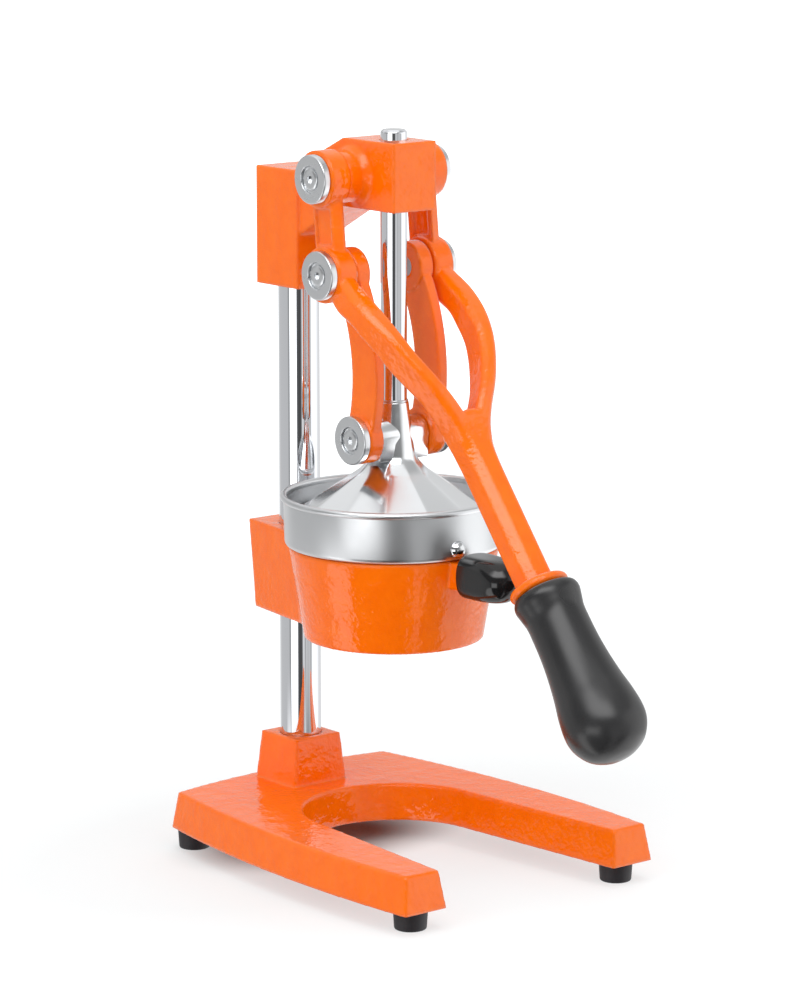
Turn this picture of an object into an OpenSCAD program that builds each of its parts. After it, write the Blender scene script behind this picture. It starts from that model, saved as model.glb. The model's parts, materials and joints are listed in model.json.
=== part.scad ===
// Lever citrus juice press: a U-shaped cast base and a chrome post carry a juice bowl and a head.
// A forked lever and two bowed links push a polished bell down on a strainer cup.
// Sizes are in millimetres, +Z is up and the lever points towards -Y.

/* [Base casting] */
// Height of the base casting
base_h = 19.1; // [16:0.1:22]
// Half width of the base at its widest, along the lower edge
base_half_w = 84; // [82:0.5:88]
// Radius of the long curved sides
base_side_r = 700; // [620:5:780]
// Distance of the widest place in front of the press axis
base_wide_y = 38; // [30:1:44]
// Reach of the legs in front of the press axis, along the lower edge
leg_reach = 108; // [107:0.5:112]
// Reach of the base behind the press axis, along the lower edge
base_back = 104; // [102:0.5:108]
// Radius of the curved rear edge
base_back_r = 320; // [280:5:380]
// How far every side leans in over the height of the casting
base_draft = 3; // [1.5:0.1:3.6]
// Radius of the round bay between the legs, along the lower edge
bay_r = 46; // [43:0.5:48]
// Distance of the bay's centre in front of the press axis
bay_y = 3; // [0:0.5:6]
// Half width of the bay between the tips of the legs, along the lower edge
bay_mouth_half_w = 54.8; // [52:0.1:56]
// Wall of the hollow underside
base_wall = 5; // [4:0.1:5.5]
// Plate over the hollow underside
base_plate = 7; // [6:0.1:9]
// Radius of the bosses round the foot screws
foot_boss_r = 9.5; // [9.2:0.1:10]
// Width of the ribs across the hollow
rib_w = 4; // [3:0.1:5]

/* [Pedestal] */
// Height of the square pedestal
pedestal_h = 24.9; // [22:0.1:30]
// Half width of the pedestal at its foot
pedestal_foot_half_w = 17; // [16:0.1:18]
// Half width of the pedestal at its top
pedestal_top_half_w = 14.7; // [13.5:0.1:15.5]

/* [Feet] */
// Height of the rubber feet
foot_h = 10.5; // [9:0.1:13]
// Radius of a foot at its top
foot_top_r = 8.7; // [8.2:0.1:9.2]
// Radius of a foot at the floor
foot_floor_r = 8; // [7.4:0.1:8.2]
// Distance of the front feet's axes from the base's widest sides
front_foot_in = 16.8; // [16:0.1:18]
// Distance of the front feet's axes from the tips of the legs
front_foot_back = 12.5; // [12:0.1:15]
// Distance of the rear feet's axes from the base's widest sides
rear_foot_in = 22.5; // [22:0.1:28]
// Distance of the rear feet's axes from the rear edge
rear_foot_front = 15; // [14.5:0.1:22]

/* [Post] */
// Radius of the post
post_r = 10.7; // [10:0.1:11.2]
// Distance of the post behind the press axis
post_y = 77.6; // [76:0.1:79]
// Depth of the post's socket in the pedestal and base
post_socket = 32; // [28:0.5:34]
// Clear post between the pedestal and the juice bowl's arm
post_gap = 66.5; // [60:0.5:90]

/* [Juice bowl] */
// Height of the juice bowl
bowl_h = 47.5; // [44:0.5:54]
// Outer radius of the bowl at its top
bowl_top_r = 53.6; // [52.8:0.1:54.4]
// Outer radius of the bowl at its underside
bowl_foot_r = 45.6; // [44:0.1:47]
// Wall of the bowl
bowl_wall = 4; // [3.4:0.1:4.4]
// Radius of the juice outlet
outlet_r = 9; // [7:0.1:12]
// Half width of the arm at its rear face
arm_half_w = 15.2; // [14.6:0.1:16.5]
// Angle at which each side of the arm spreads towards the bowl
arm_flare = 9; // [4:0.5:11]
// Radius of the hollow blends between arm and bowl
arm_blend_r = 40; // [30:1:46]
// Height of the arm
arm_h = 45.8; // [40:0.1:46.2]
// Distance from the post's axis to the arm's rear face, at the top
arm_back = 24; // [20:0.1:26]
// How far the rear face leans in down to the arm's underside
arm_lean = 6.5; // [2:0.1:8]
// Half width of the tongue that carries the front grip
tongue_half_w = 7; // [6:0.1:8.5]
// Height of the tongue
tongue_h = 13.5; // [12:0.1:15]
// Distance of the tongue's end in front of the press axis
tongue_reach = 61.5; // [60:0.1:63]

/* [Front grip] */
// Radius of the front grip
front_grip_r = 13; // [12:0.1:13.4]
// Half thickness of the front grip across its flats
front_grip_flat = 10.8; // [10:0.1:11.4]
// Length of the front grip
front_grip_len = 32; // [28:0.1:32.4]
// Height of the front grip's axis above the middle of the tongue
front_grip_rise = 1.2; // [0:0.1:2]
// Radius of the tang that holds the front grip
front_tang_r = 4; // [3:0.1:5]

/* [Strainer cup] */
// Height of the cup's band above the bowl's rim
cup_band_h = 26.5; // [24:0.1:30]
// Radius over the rolled rim
cup_rim_r = 57.6; // [57:0.1:58.5]
// Radius of the band where it meets the shoulder
cup_band_r = 55.4; // [55:0.1:56]
// Sheet thickness of the cup
cup_sheet = 1.2; // [1:0.1:1.6]
// Depth of the cup below the bowl's rim
cup_depth = 15; // [12:0.5:18]
// Radius of the strainer holes
strainer_hole_r = 1.8; // [1.2:0.1:2.2]
// Number of strainer holes
strainer_holes = 24; // [12:1:28]
// Radius of the reamer at its flange
reamer_flange_r = 34; // [32:0.5:36]
// Height of the reamer over the cup's floor
reamer_h = 42; // [36:0.5:44]
// Number of ribs on the reamer
reamer_ribs = 8; // [5:1:10]
// Radius of the rivet's dome
rivet_r = 4.4; // [3.5:0.1:5]
// Turn of the cup in its bowl, as it stands
cup_turn = -4; // [-6:0.5:6]

/* [Press bell and rod] */
// Number of flats round the bell
bell_flats = 12; // [10:2:16]
// Radius of the bell over its skirt
bell_r = 51.5; // [50:0.1:52.2]
// Wall of the bell's skirt
bell_wall = 2.6; // [2.2:0.1:3]
// Half width over the bell's side lugs
lug_half_w = 15.9; // [15.5:0.1:16]
// Radius of the lugs' round ends
lug_r = 9.2; // [8.5:0.1:9.6]
// Radius of the press rod
rod_r = 6.7; // [6.2:0.1:6.9]
// Length of rod that stands above the head
rod_proud = 5.3; // [3:0.1:8]

/* [Linkage] */
// Height of the lower link pivots above the cup's rim
press_pivot_rise = 29.5; // [28.5:0.1:32]
// Length of a link between its pivots
link_len = 83.74; // [82.5:0.01:85]
// Length of the lever's short arm between its pivots
crank_len = 47.86; // [47:0.01:49]
// Lean of the short arm from upright
crank_lean = 6; // [5.5:0.1:6.5]
// Distance of the lever's fixed pivot behind the press axis
head_pivot_y = 16.1; // [15.8:0.1:16.4]
// Inner face of the links, from the middle plane
link_in = 16.2; // [16.1:0.05:16.3]
// Thickness of the links' eyes
link_eye_t = 8.3; // [8:0.05:8.4]
// Thickness of the links' bars
link_bar_t = 5.6; // [5:0.1:6.2]
// Width of the links' bars
link_bar_w = 19; // [17:0.1:20]
// Bow of the links
link_bow = 9.7; // [8:0.1:10.5]
// Radius of the links' upper eyes
link_top_eye_r = 12.8; // [12.2:0.1:13.2]
// Radius of the links' lower eyes
link_low_eye_r = 12.4; // [12:0.1:12.6]
// Radius of the pivot screws' shanks
pivot_r = 5; // [4.5:0.1:5.5]
// Radius of the pivot caps
cap_r = 12.3; // [11.8:0.1:12.8]
// Thickness of the pivot caps
cap_t = 3.8; // [3.4:0.1:4.2]

/* [Lever casting] */
// Inner face of the lever's eyes, from the middle plane
eye_in = 25.3; // [25.2:0.05:25.4]
// Thickness of the lever's eyes
eye_t = 11.4; // [10.5:0.1:12]
// Radius of the lever's eyes
eye_r = 14.2; // [13.6:0.1:14.8]
// Width of the short arms
crank_w = 19; // [17:0.1:20]
// Thickness of the short arms
crank_t = 6.2; // [5.6:0.1:7]
// Depth of the pocket in the short arms
crank_pocket = 1.5; // [1:0.1:1.8]
// Space between the shaft's rear face and the tip of the front grip
lever_clear = 5.3; // [4.6:0.1:6.5]
// How far the shaft's axis passes in front of the lower lever pivot
lever_offset = 6.5; // [5:0.1:7]
// Length of the fork from the lower lever pivot to its root
fork_len = 112; // [108:0.5:116]
// Depth of the prongs
prong_depth = 14.4; // [13:0.1:15]
// Forward bow of the prongs' front
prong_bow = 14; // [13:0.1:15]
// Half width of the shaft
shaft_half_w = 8.8; // [8.5:0.1:9.6]
// Distance from the tip of the front grip to the collar, along the shaft
collar_gap = 10.2; // [8:0.1:14]
// Radius of the collar
collar_r = 15.2; // [14.5:0.1:16]
// Thickness of the collar
collar_t = 5; // [4:0.1:6]
// How far the collar stands in front of the shaft's axis
collar_lift = 1.2; // [0:0.1:2]

/* [Lever grip] */
// Length of the lever grip
grip_len = 92.5; // [88:0.5:96]
// Largest radius of the lever grip
grip_r = 20.6; // [19.5:0.1:21]
// Turn of the grip's axis from the shaft's axis
grip_turn = 0.2; // [0:0.1:2]
// How far the grip's lip stands in front of the shaft's axis
grip_lift = 3.4; // [2:0.1:3.8]
// Radius of the tang inside the grip
tang_r = 5.5; // [4.5:0.1:6]
// Length of the tang
tang_len = 66; // [50:0.5:72]

/* [Head casting] */
// Half width of the head's front block
head_half_w = 13.7; // [13.2:0.1:14.2]
// Front face of the head, in front of the press axis
head_front = 16.6; // [16:0.1:18]
// Height of the head's top above the lever's fixed pivot
head_rise = 18.5; // [17.5:0.1:20]
// Depth of the head's front block below the fixed pivot
head_drop = 16; // [15:0.1:18]
// Half width of the rear block round the post
socket_half_w = 15.6; // [15:0.1:17]
// Depth of the rear block's underside below the fixed pivot
socket_drop = 62; // [58:0.5:66]
// Distance from the post's axis to the head's rear face
head_back = 15.4; // [15:0.1:18]
// Distance from the post's axis to the front of the rear block
socket_front = 18.6; // [17.5:0.1:19.5]
// Radius of the side bosses that carry the lever
boss_r = 12.9; // [12.6:0.1:13.4]

/* [Fits] */
// Gap between faces of pieces that move past each other
face_gap = 0.3; // [0.25:0.01:0.35]
// Radial running clearance of pivots and sliding rods
run_gap = 0.05; // [0.03:0.01:0.08]
// Small radial gap round screws that clamp
screw_gap = 0.05; // [0.03:0.01:0.1]

/* [Hidden] */

orange = "#fa6a0a";
chrome = "#d5d8dc";
steel = "#bfc3c7";
polished = "#dfe2e4";
black = "#3c3c3e";
rubber = "#222224";

$fn = 96;
big_fn = 240;
over = 1;

// Places of the feet
front_foot_half_x = base_half_w - front_foot_in;
front_foot_y = leg_reach - front_foot_back;
rear_foot_half_x = base_half_w - rear_foot_in;
rear_foot_y = base_back - rear_foot_front;

// Stack of heights from the floor
base_top = foot_h + base_h;
pedestal_top = base_top + pedestal_h;
arm_z = pedestal_top + post_gap;
bowl_edge = 1;
bowl_z = arm_z - bowl_edge;
bowl_top = bowl_z + bowl_h;
arm_top = arm_z + arm_h;
rim_z = bowl_top + cup_band_h;
tongue_drop = 0.5;
tongue_top = bowl_top - tongue_drop;
grip_axis_z = tongue_top - tongue_h / 2 + front_grip_rise;

// Pivots of the linkage
press_pivot_z = rim_z + press_pivot_rise;
link_pivot_y = head_pivot_y - crank_len * sin(crank_lean);
link_pivot_z = press_pivot_z + sqrt(link_len * link_len - link_pivot_y * link_pivot_y);
head_pivot_z = link_pivot_z + crank_len * cos(crank_lean);
link_lean = asin(link_pivot_y / link_len);

// Head
head_top = head_pivot_z + head_rise;
head_low = head_pivot_z - head_drop;
socket_low = head_pivot_z - socket_drop;
socket_top_drop = 1;
socket_top = head_pivot_z - socket_top_drop;
post_top_wall = 8;
post_bottom = pedestal_top - post_socket;
post_top = socket_top - post_top_wall;
rod_top = head_top + rod_proud;

// Lever, laid so that its shaft passes the tip of the front grip
tip_y = -tongue_reach - face_gap - front_grip_len;
tip_reach = norm([link_pivot_y - tip_y, link_pivot_z - grip_axis_z]);
tip_angle = asin((shaft_half_w + lever_clear - lever_offset) / tip_reach);
lever_slope = atan2(link_pivot_z - grip_axis_z, link_pivot_y - tip_y) - tip_angle;
collar_s = tip_reach * cos(tip_angle) + collar_gap;
lever_y = -cos(lever_slope);
lever_z = -sin(lever_slope);
lever_dir = [0, lever_y, lever_z];
front_dir = [0, lever_z, -lever_y];
eye_mid = eye_in + eye_t / 2;
eye_out = eye_in + eye_t;
link_out = link_in + link_eye_t;
link_mid = link_in + link_eye_t / 2;
lever_cap_in = eye_out + face_gap;
press_cap_in = link_out + face_gap;

// A place in the lever's frame: across, along the shaft and towards the front
function lever_point(x, s, n) =
    [0, link_pivot_y, link_pivot_z] + [x, 0, 0] + s * lever_dir + (n + lever_offset) * front_dir;

// Smooth curve through the rows of a table, with even steps between rows
function blend(a, b, c, d, t) =
    0.5 * (2 * b + (c - a) * t + (2 * a - 5 * b + 4 * c - d) * t * t + (3 * b - a - 3 * c + d) * t * t * t);
function row(table, i) = table[max(0, min(len(table) - 1, i))];
function smooth(table, steps) = [
    for (i = [0 : len(table) - 2])
        for (k = [0 : steps - 1])
            blend(row(table, i - 1), table[i], table[i + 1], row(table, i + 2), k / steps),
    table[len(table) - 1]
];

// Closed body through rings of points, all with the same number of points
function ring_faces(rings, n) = [
    for (i = [0 : rings - 2])
        for (j = [0 : n - 1])
            for (tri = [[i * n + j, (i + 1) * n + j, i * n + (j + 1) % n],
                        [i * n + (j + 1) % n, (i + 1) * n + j, (i + 1) * n + (j + 1) % n]]) tri
];
module loft(rings) {
    n = len(rings[0]);
    last = len(rings) - 1;
    polyhedron(
        points = [for (ring = rings) for (p = ring) p],
        faces = concat(
            ring_faces(len(rings), n),
            [[for (j = [0 : n - 1]) j]],
            [[for (j = [n - 1 : -1 : 0]) last * n + j]]
        ),
        convexity = 4
    );
}

// The frame's origin lies on the floor, under the middle of the whole press
grip_shares = [[0, 0.65], [0.014, 0.775], [0.05, 0.825], [0.1, 0.785], [0.155, 0.735], [0.22, 0.73],
               [0.32, 0.74], [0.41, 0.768], [0.5, 0.815], [0.585, 0.875], [0.67, 0.95], [0.76, 1],
               [0.83, 0.985], [0.89, 0.885], [0.945, 0.7], [0.982, 0.43], [0.996, 0.2], [1, 0]];
grip_steps = 3;
grip_profile = [for (p = smooth(grip_shares, grip_steps)) [max(0, p[1]) * grip_r, p[0] * grip_len]];
grip_start = collar_s + collar_t / 2 + face_gap;
grip_slope = lever_slope + grip_turn;
grip_origin = lever_point(0, grip_start, grip_lift);
front_y = min([for (p = grip_profile) grip_origin[1] - p[1] * cos(grip_slope) - p[0] * sin(grip_slope)]);
rear_y = max(base_back, post_y + arm_back);
frame_y = -(front_y + rear_y) / 2;
module placed() {
    translate([0, frame_y, 0]) children();
}

// A cylinder along X, from one face to the other
module across(x0, x1, r, y, z) {
    translate([x0, y, z]) rotate([0, 90, 0]) cylinder(h = x1 - x0, r = r);
}
module both_sides() {
    children();
    mirror([1, 0, 0]) children();
}

// Base casting
// The whole U with its drafted sides, drawn in by inset and standing from z0 up
module base_sides(z0, h, inset) {
    lean = base_draft * h / base_h;
    low = base_draft * (z0 - foot_h) / base_h + inset;
    side_x = base_half_w - base_side_r;
    intersection() {
        intersection_for (side = [-1, 1])
            translate([side * side_x, -base_wide_y, z0])
                cylinder(h = h, r1 = base_side_r - low, r2 = base_side_r - low - lean, $fn = big_fn);
        translate([0, base_back - base_back_r, z0])
            cylinder(h = h, r1 = base_back_r - low, r2 = base_back_r - low - lean, $fn = big_fn);
        rotate([90, 0, 90])
            linear_extrude(2 * base_half_w + 2 * over, center = true)
                polygon([[low - leg_reach, z0], [base_back + over, z0], [base_back + over, z0 + h],
                         [low + lean - leg_reach, z0 + h]]);
    }
}
// The space between the legs, grown by grow, from z0 up
module base_bay(z0, h, grow) {
    lean = base_draft * h / base_h;
    low = base_draft * (z0 - foot_h) / base_h + grow;
    r0 = bay_r + low;
    r1 = r0 + lean;
    m0 = bay_mouth_half_w + low;
    m1 = m0 + lean;
    tip = -leg_reach - over;
    translate([0, -bay_y, z0]) cylinder(h = h, r1 = r0, r2 = r1, $fn = big_fn);
    polyhedron(
        points = [[-r0, -bay_y, z0], [r0, -bay_y, z0], [m0, tip, z0], [-m0, tip, z0],
                  [-r1, -bay_y, z0 + h], [r1, -bay_y, z0 + h], [m1, tip, z0 + h], [-m1, tip, z0 + h]],
        faces = [[0, 3, 2, 1], [4, 5, 6, 7], [0, 1, 5, 4], [1, 2, 6, 5], [2, 3, 7, 6], [3, 0, 4, 7]]
    );
}
module feet_places() {
    for (side = [-1, 1]) {
        translate([side * front_foot_half_x, -front_foot_y, 0]) children();
        translate([side * rear_foot_half_x, rear_foot_y, 0]) children();
    }
}
hollow_h = base_h - base_plate;
foot_screw_r = 2.1;
foot_screw_up = 11;
post_boss_r = 19;
bolt_r = 4;
bolt_head_r = 6.6;
bolt_head_h = 5.2;
washer_r = 9;
washer_t = 1.6;
bolt_recess_r = 10;
bolt_sink = 1.4;
bolt_recess = bolt_head_h + washer_t + bolt_sink;
bolt_grip = 18;
rib_places = [0.35, 0.7];
module base_hollow() {
    difference() {
        base_sides(foot_h - over, hollow_h + over, base_wall);
        base_bay(foot_h - over - over, hollow_h + 3 * over, base_wall);
        feet_places() cylinder(h = foot_h + hollow_h + over, r = foot_boss_r);
        translate([0, post_y, 0]) cylinder(h = foot_h + hollow_h + over, r = post_boss_r);
        for (share = rib_places)
            translate([-base_half_w, -share * leg_reach - rib_w / 2, 0])
                cube([2 * base_half_w, rib_w, foot_h + hollow_h + over]);
        translate([-rib_w / 2, 0, 0]) cube([rib_w, base_back, foot_h + hollow_h + over]);
    }
}
module base_casting() {
    color(orange) placed() difference() {
        union() {
            difference() {
                base_sides(foot_h, base_h, 0);
                base_bay(foot_h - over, base_h + 2 * over, -base_draft * over / base_h);
                base_hollow();
            }
            translate([0, post_y, base_top - over])
                rotate(45)
                    cylinder(h = pedestal_h + over, r1 = pedestal_foot_half_w * sqrt(2),
                             r2 = pedestal_top_half_w * sqrt(2), $fn = 4);
        }
        translate([0, post_y, post_bottom]) cylinder(h = post_socket + over, r = post_r + screw_gap);
        translate([0, post_y, foot_h - over]) cylinder(h = base_h + over, r = bolt_r + screw_gap);
        translate([0, post_y, foot_h - over]) cylinder(h = bolt_recess + over, r = bolt_recess_r);
        feet_places() translate([0, 0, foot_h - over])
            cylinder(h = foot_screw_up + over, r = foot_screw_r + screw_gap);
    }
}

// Rubber feet and their screws
foot_recess_r = 5;
foot_recess = 5;
foot_screw_head_r = 4;
foot_screw_head_h = 2.8;
foot_socket_r = 1.3;
module foot(x, y) {
    color(rubber) placed() translate([x, y, 0]) difference() {
        cylinder(h = foot_h, r1 = foot_floor_r, r2 = foot_top_r);
        translate([0, 0, -over]) cylinder(h = foot_recess + over, r = foot_recess_r);
        cylinder(h = foot_h + over, r = foot_screw_r + screw_gap);
    }
}
module foot_front_left() foot(-front_foot_half_x, -front_foot_y);
module foot_front_right() foot(front_foot_half_x, -front_foot_y);
module foot_rear_left() foot(-rear_foot_half_x, rear_foot_y);
module foot_rear_right() foot(rear_foot_half_x, rear_foot_y);
module foot_screws() {
    color(steel) placed() feet_places() difference() {
        union() {
            translate([0, 0, foot_recess - foot_screw_head_h])
                cylinder(h = foot_screw_head_h, r = foot_screw_head_r);
            translate([0, 0, foot_recess - foot_screw_head_h])
                cylinder(h = foot_screw_head_h + foot_h - foot_recess + foot_screw_up - over, r = foot_screw_r);
        }
        translate([0, 0, foot_recess - foot_screw_head_h - over])
            cylinder(h = foot_screw_head_h, r = foot_socket_r);
    }
}

// Post, clamped from below by one bolt
post_chamfer = 1;
module post() {
    color(chrome) placed() translate([0, post_y, post_bottom]) difference() {
        union() {
            cylinder(h = post_top - post_bottom - post_chamfer, r = post_r);
            translate([0, 0, post_top - post_bottom - post_chamfer])
                cylinder(h = post_chamfer, r1 = post_r, r2 = post_r - post_chamfer);
        }
        translate([0, 0, -over]) cylinder(h = bolt_grip + over, r = bolt_r);
    }
}
bolt_seat = foot_h + bolt_recess;
module post_washer() {
    color(steel) placed() translate([0, post_y, bolt_seat - washer_t]) difference() {
        cylinder(h = washer_t, r = washer_r);
        translate([0, 0, -over]) cylinder(h = washer_t + 2 * over, r = bolt_r + screw_gap);
    }
}
module post_bolt() {
    head_z = bolt_seat - washer_t - bolt_head_h;
    color(steel) placed() translate([0, post_y, 0]) union() {
        translate([0, 0, head_z]) cylinder(h = bolt_head_h, r = bolt_head_r, $fn = 6);
        translate([0, 0, head_z]) cylinder(h = post_bottom + bolt_grip - over - head_z, r = bolt_r);
    }
}

// Holder casting: juice bowl, arm round the post and tongue for the front grip
bowl_floor = 5;
bowl_funnel = 5;
bowl_taper = (bowl_top_r - bowl_foot_r) / bowl_h;
cup_seat_r = bowl_top_r - bowl_wall;
set_screw_r = 3;
holder_screw_z = (arm_z + arm_top) / 2;
module arm_profile() {
    polygon([[0, arm_z], [post_y + arm_back - arm_lean, arm_z], [post_y + arm_back, arm_top], [0, arm_top]]);
}
module bowl_cone(r_in, z0, h) {
    r0 = bowl_foot_r + bowl_taper * (z0 - bowl_z) - r_in;
    translate([0, 0, z0]) cylinder(h = h, r1 = r0, r2 = r0 + bowl_taper * h, $fn = big_fn);
}
// The arm in plan, wider towards the bowl
arm_end = post_y + arm_back;
arm_spread = tan(arm_flare);
arm_root_w = arm_half_w + arm_spread * arm_end;
blend_bite = 0.4;
blend_fn = 72;
// Centre of the blend between the arm's side and the bowl, at height z; it bites a little into both
function blend_centre(z) =
    let (reach = bowl_foot_r + bowl_taper * (z - bowl_z) + arm_blend_r - blend_bite,
         slant = 1 + arm_spread * arm_spread,
         side = arm_root_w + (arm_blend_r - blend_bite) * sqrt(slant),
         y = (side * arm_spread + sqrt(side * side * arm_spread * arm_spread
                                       - slant * (side * side - reach * reach))) / slant)
    [side - arm_spread * y, y];
// Hollow blend between the bowl and one side of the arm, following the bowl's taper
module arm_blend() {
    foot = arm_blend_r / sqrt(1 + arm_spread * arm_spread);
    difference() {
        loft([for (z = [arm_z, arm_top]) let (c = blend_centre(z), y = c[1] - foot * arm_spread)
            [[0, 0, z], [c[0], c[1], z], [c[0] - foot, y, z], [0, y, z]]]);
        loft([for (z = [arm_z - over, arm_top + over]) let (c = blend_centre(z))
            [for (j = [0 : blend_fn - 1]) let (w = j * 360 / blend_fn)
                [c[0] + arm_blend_r * cos(w), c[1] + arm_blend_r * sin(w), z]]]);
    }
}
module arm() {
    intersection() {
        rotate([90, 0, 90]) linear_extrude(2 * arm_root_w, center = true) arm_profile();
        translate([0, 0, arm_z]) linear_extrude(arm_h)
            polygon([[-arm_root_w, 0], [arm_root_w, 0], [arm_half_w, arm_end], [-arm_half_w, arm_end]]);
    }
}
module holder_casting() {
    color(orange) placed() difference() {
        union() {
            bowl_cone(0, bowl_z, bowl_h);
            arm();
            both_sides() arm_blend();
            translate([-tongue_half_w, -tongue_reach, tongue_top - tongue_h])
                cube([2 * tongue_half_w, tongue_reach, tongue_h]);
            translate([0, over - tongue_reach, grip_axis_z]) rotate([90, 0, 0])
                cylinder(h = front_grip_len / 2 + over, r = front_tang_r);
        }
        bowl_cone(bowl_wall, bowl_z + bowl_floor + bowl_funnel, bowl_h - bowl_floor - bowl_funnel + over);
        translate([0, 0, bowl_z + bowl_floor])
            cylinder(h = bowl_funnel + over / 10, r1 = outlet_r, r2 = bowl_foot_r - bowl_wall, $fn = big_fn);
        translate([0, 0, bowl_z - over]) cylinder(h = bowl_floor + 2 * over, r = outlet_r);
        translate([0, post_y, arm_z - over]) cylinder(h = arm_h + 2 * over, r = post_r + screw_gap);
        translate([0, post_y, holder_screw_z]) rotate([-90, 0, 0])
            cylinder(h = arm_back + over, r = set_screw_r + screw_gap);
    }
}
// Grub screw from the rear against the post, with a hexagon socket
module set_screw(z, back) {
    len = back - post_r;
    socket = set_screw_r * 0.9;
    color(steel) placed() translate([0, post_y + post_r, z]) rotate([-90, 0, 0]) difference() {
        cylinder(h = len, r = set_screw_r);
        translate([0, 0, len - socket]) cylinder(h = socket + over, r = set_screw_r * 0.55, $fn = 6);
    }
}
set_screw_sink = 3.6;
module holder_set_screw() set_screw(holder_screw_z, arm_back - arm_lean / 2 - set_screw_sink + over);

front_grip_shares = [[0, 0.88], [0.03, 0.96], [0.1, 1], [0.26, 1], [0.42, 0.985], [0.56, 0.95], [0.7, 0.87],
                     [0.85, 0.71], [0.94, 0.48], [0.985, 0.24], [1, 0]];
front_grip_turn = [for (p = smooth(front_grip_shares, 3))
                      [max(0, p[1]) * front_grip_r, p[0] * front_grip_len]];
module front_grip() {
    color(black) placed() translate([0, -tongue_reach - face_gap, grip_axis_z]) rotate([90, 0, 0]) difference() {
        intersection() {
            rotate_extrude() polygon(concat([[0, 0]], front_grip_turn));
            translate([-front_grip_flat, -front_grip_flat, -over])
                cube([2 * front_grip_flat, 2 * front_grip_flat, front_grip_len + 2 * over]);
        }
        translate([0, 0, -over]) cylinder(h = front_grip_len / 2 + over, r = front_tang_r + screw_gap);
    }
}

// Strainer cup, its rivet and the reamer under the bell
rim_bead_r = 1.7;
reamer_eye_share = 0.6;
cup_floor_z = bowl_top - cup_depth;
cup_slack = 0.6;
cup_neck_r = cup_seat_r - cup_slack;
cup_low_r = cup_neck_r - bowl_taper * (cup_depth + cup_sheet);
shoulder_r = 2.6;
cup_ledge_z = bowl_top + face_gap;
cup_bead_z = rim_z - rim_bead_r;
strainer_ring_r = (cup_low_r + reamer_flange_r) / 2;
module cup_section() {
    difference() {
        polygon([[0, cup_floor_z - cup_sheet], [cup_low_r, cup_floor_z - cup_sheet], [cup_neck_r, cup_ledge_z],
                 [cup_band_r - shoulder_r, cup_ledge_z], [cup_band_r, cup_ledge_z + shoulder_r],
                 [cup_rim_r - rim_bead_r, cup_bead_z], [0, cup_bead_z]]);
        polygon([[0, cup_floor_z], [cup_low_r - cup_sheet, cup_floor_z],
                 [cup_neck_r - cup_sheet, cup_ledge_z + cup_sheet],
                 [cup_band_r - shoulder_r, cup_ledge_z + cup_sheet],
                 [cup_band_r - cup_sheet, cup_ledge_z + shoulder_r + cup_sheet / 2],
                 [cup_rim_r - rim_bead_r - cup_sheet, cup_bead_z + over], [0, cup_bead_z + over]]);
    }
    translate([cup_rim_r - rim_bead_r, cup_bead_z]) circle(r = rim_bead_r, $fn = 24);
}
rivet_z = cup_ledge_z + shoulder_r + rivet_r * 0.75;
rivet_shank_r = 1.8;
band_lean = (cup_rim_r - rim_bead_r - cup_band_r) / (cup_bead_z - cup_ledge_z - shoulder_r);
rivet_wall_y = cup_band_r + band_lean * (rivet_z - cup_ledge_z - shoulder_r);
module strainer_cup() {
    color(steel) placed() rotate(cup_turn) difference() {
        rotate_extrude($fn = big_fn) cup_section();
        for (k = [0 : strainer_holes - 1])
            rotate(k * 360 / strainer_holes) translate([strainer_ring_r, 0, cup_floor_z - cup_sheet - over])
                cylinder(h = cup_sheet + 2 * over, r = strainer_hole_r, $fn = 16);
        translate([0, 0, cup_floor_z - cup_sheet - over])
            cylinder(h = cup_sheet + 2 * over, r = reamer_eye_share * reamer_flange_r);
        translate([0, -rivet_wall_y - over, rivet_z]) rotate([-90, 0, 0])
            cylinder(h = cup_sheet + 3 * over, r = rivet_shank_r + screw_gap);
    }
}
rivet_dome = 3;
rivet_tail_share = 0.25;
rivet_seat = band_lean * rivet_r;
rivet_slack = 0.3;
module cup_rivet() {
    ball_r = (rivet_r * rivet_r + rivet_dome * rivet_dome) / (2 * rivet_dome);
    tail = rivet_tail_share * rivet_r;
    tail_z = -cup_sheet - rivet_seat - rivet_slack - tail;
    color(chrome) placed() rotate(cup_turn) translate([0, -rivet_wall_y - rivet_seat, rivet_z]) rotate([90, 0, 0])
        union() {
            intersection() {
                translate([0, 0, rivet_dome - ball_r]) sphere(r = ball_r);
                cylinder(h = rivet_dome + over, r = rivet_r);
            }
            translate([0, 0, tail_z]) cylinder(h = over - tail_z, r = rivet_shank_r);
            translate([0, 0, tail_z]) cylinder(h = tail, r = rivet_shank_r + tail);
        }
}
reamer_shares = [[0, 0.93], [0.12, 0.9], [0.3, 0.84], [0.5, 0.72], [0.68, 0.56], [0.83, 0.37], [0.94, 0.18], [1, 0]];
reamer_flange_t = 1.6;
reamer_core_share = 0.86;
reamer_rib_w = 3.2;
reamer_wall = 2.6;
module reamer_dome(size) {
    body_r = reamer_flange_r * 0.94 * size;
    body_h = (reamer_h - reamer_flange_t) * size;
    rotate_extrude() polygon(concat([[0, 0]],
        [for (p = smooth(reamer_shares, 2)) [max(0, p[1]) * body_r, p[0] * body_h]]));
}
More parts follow.
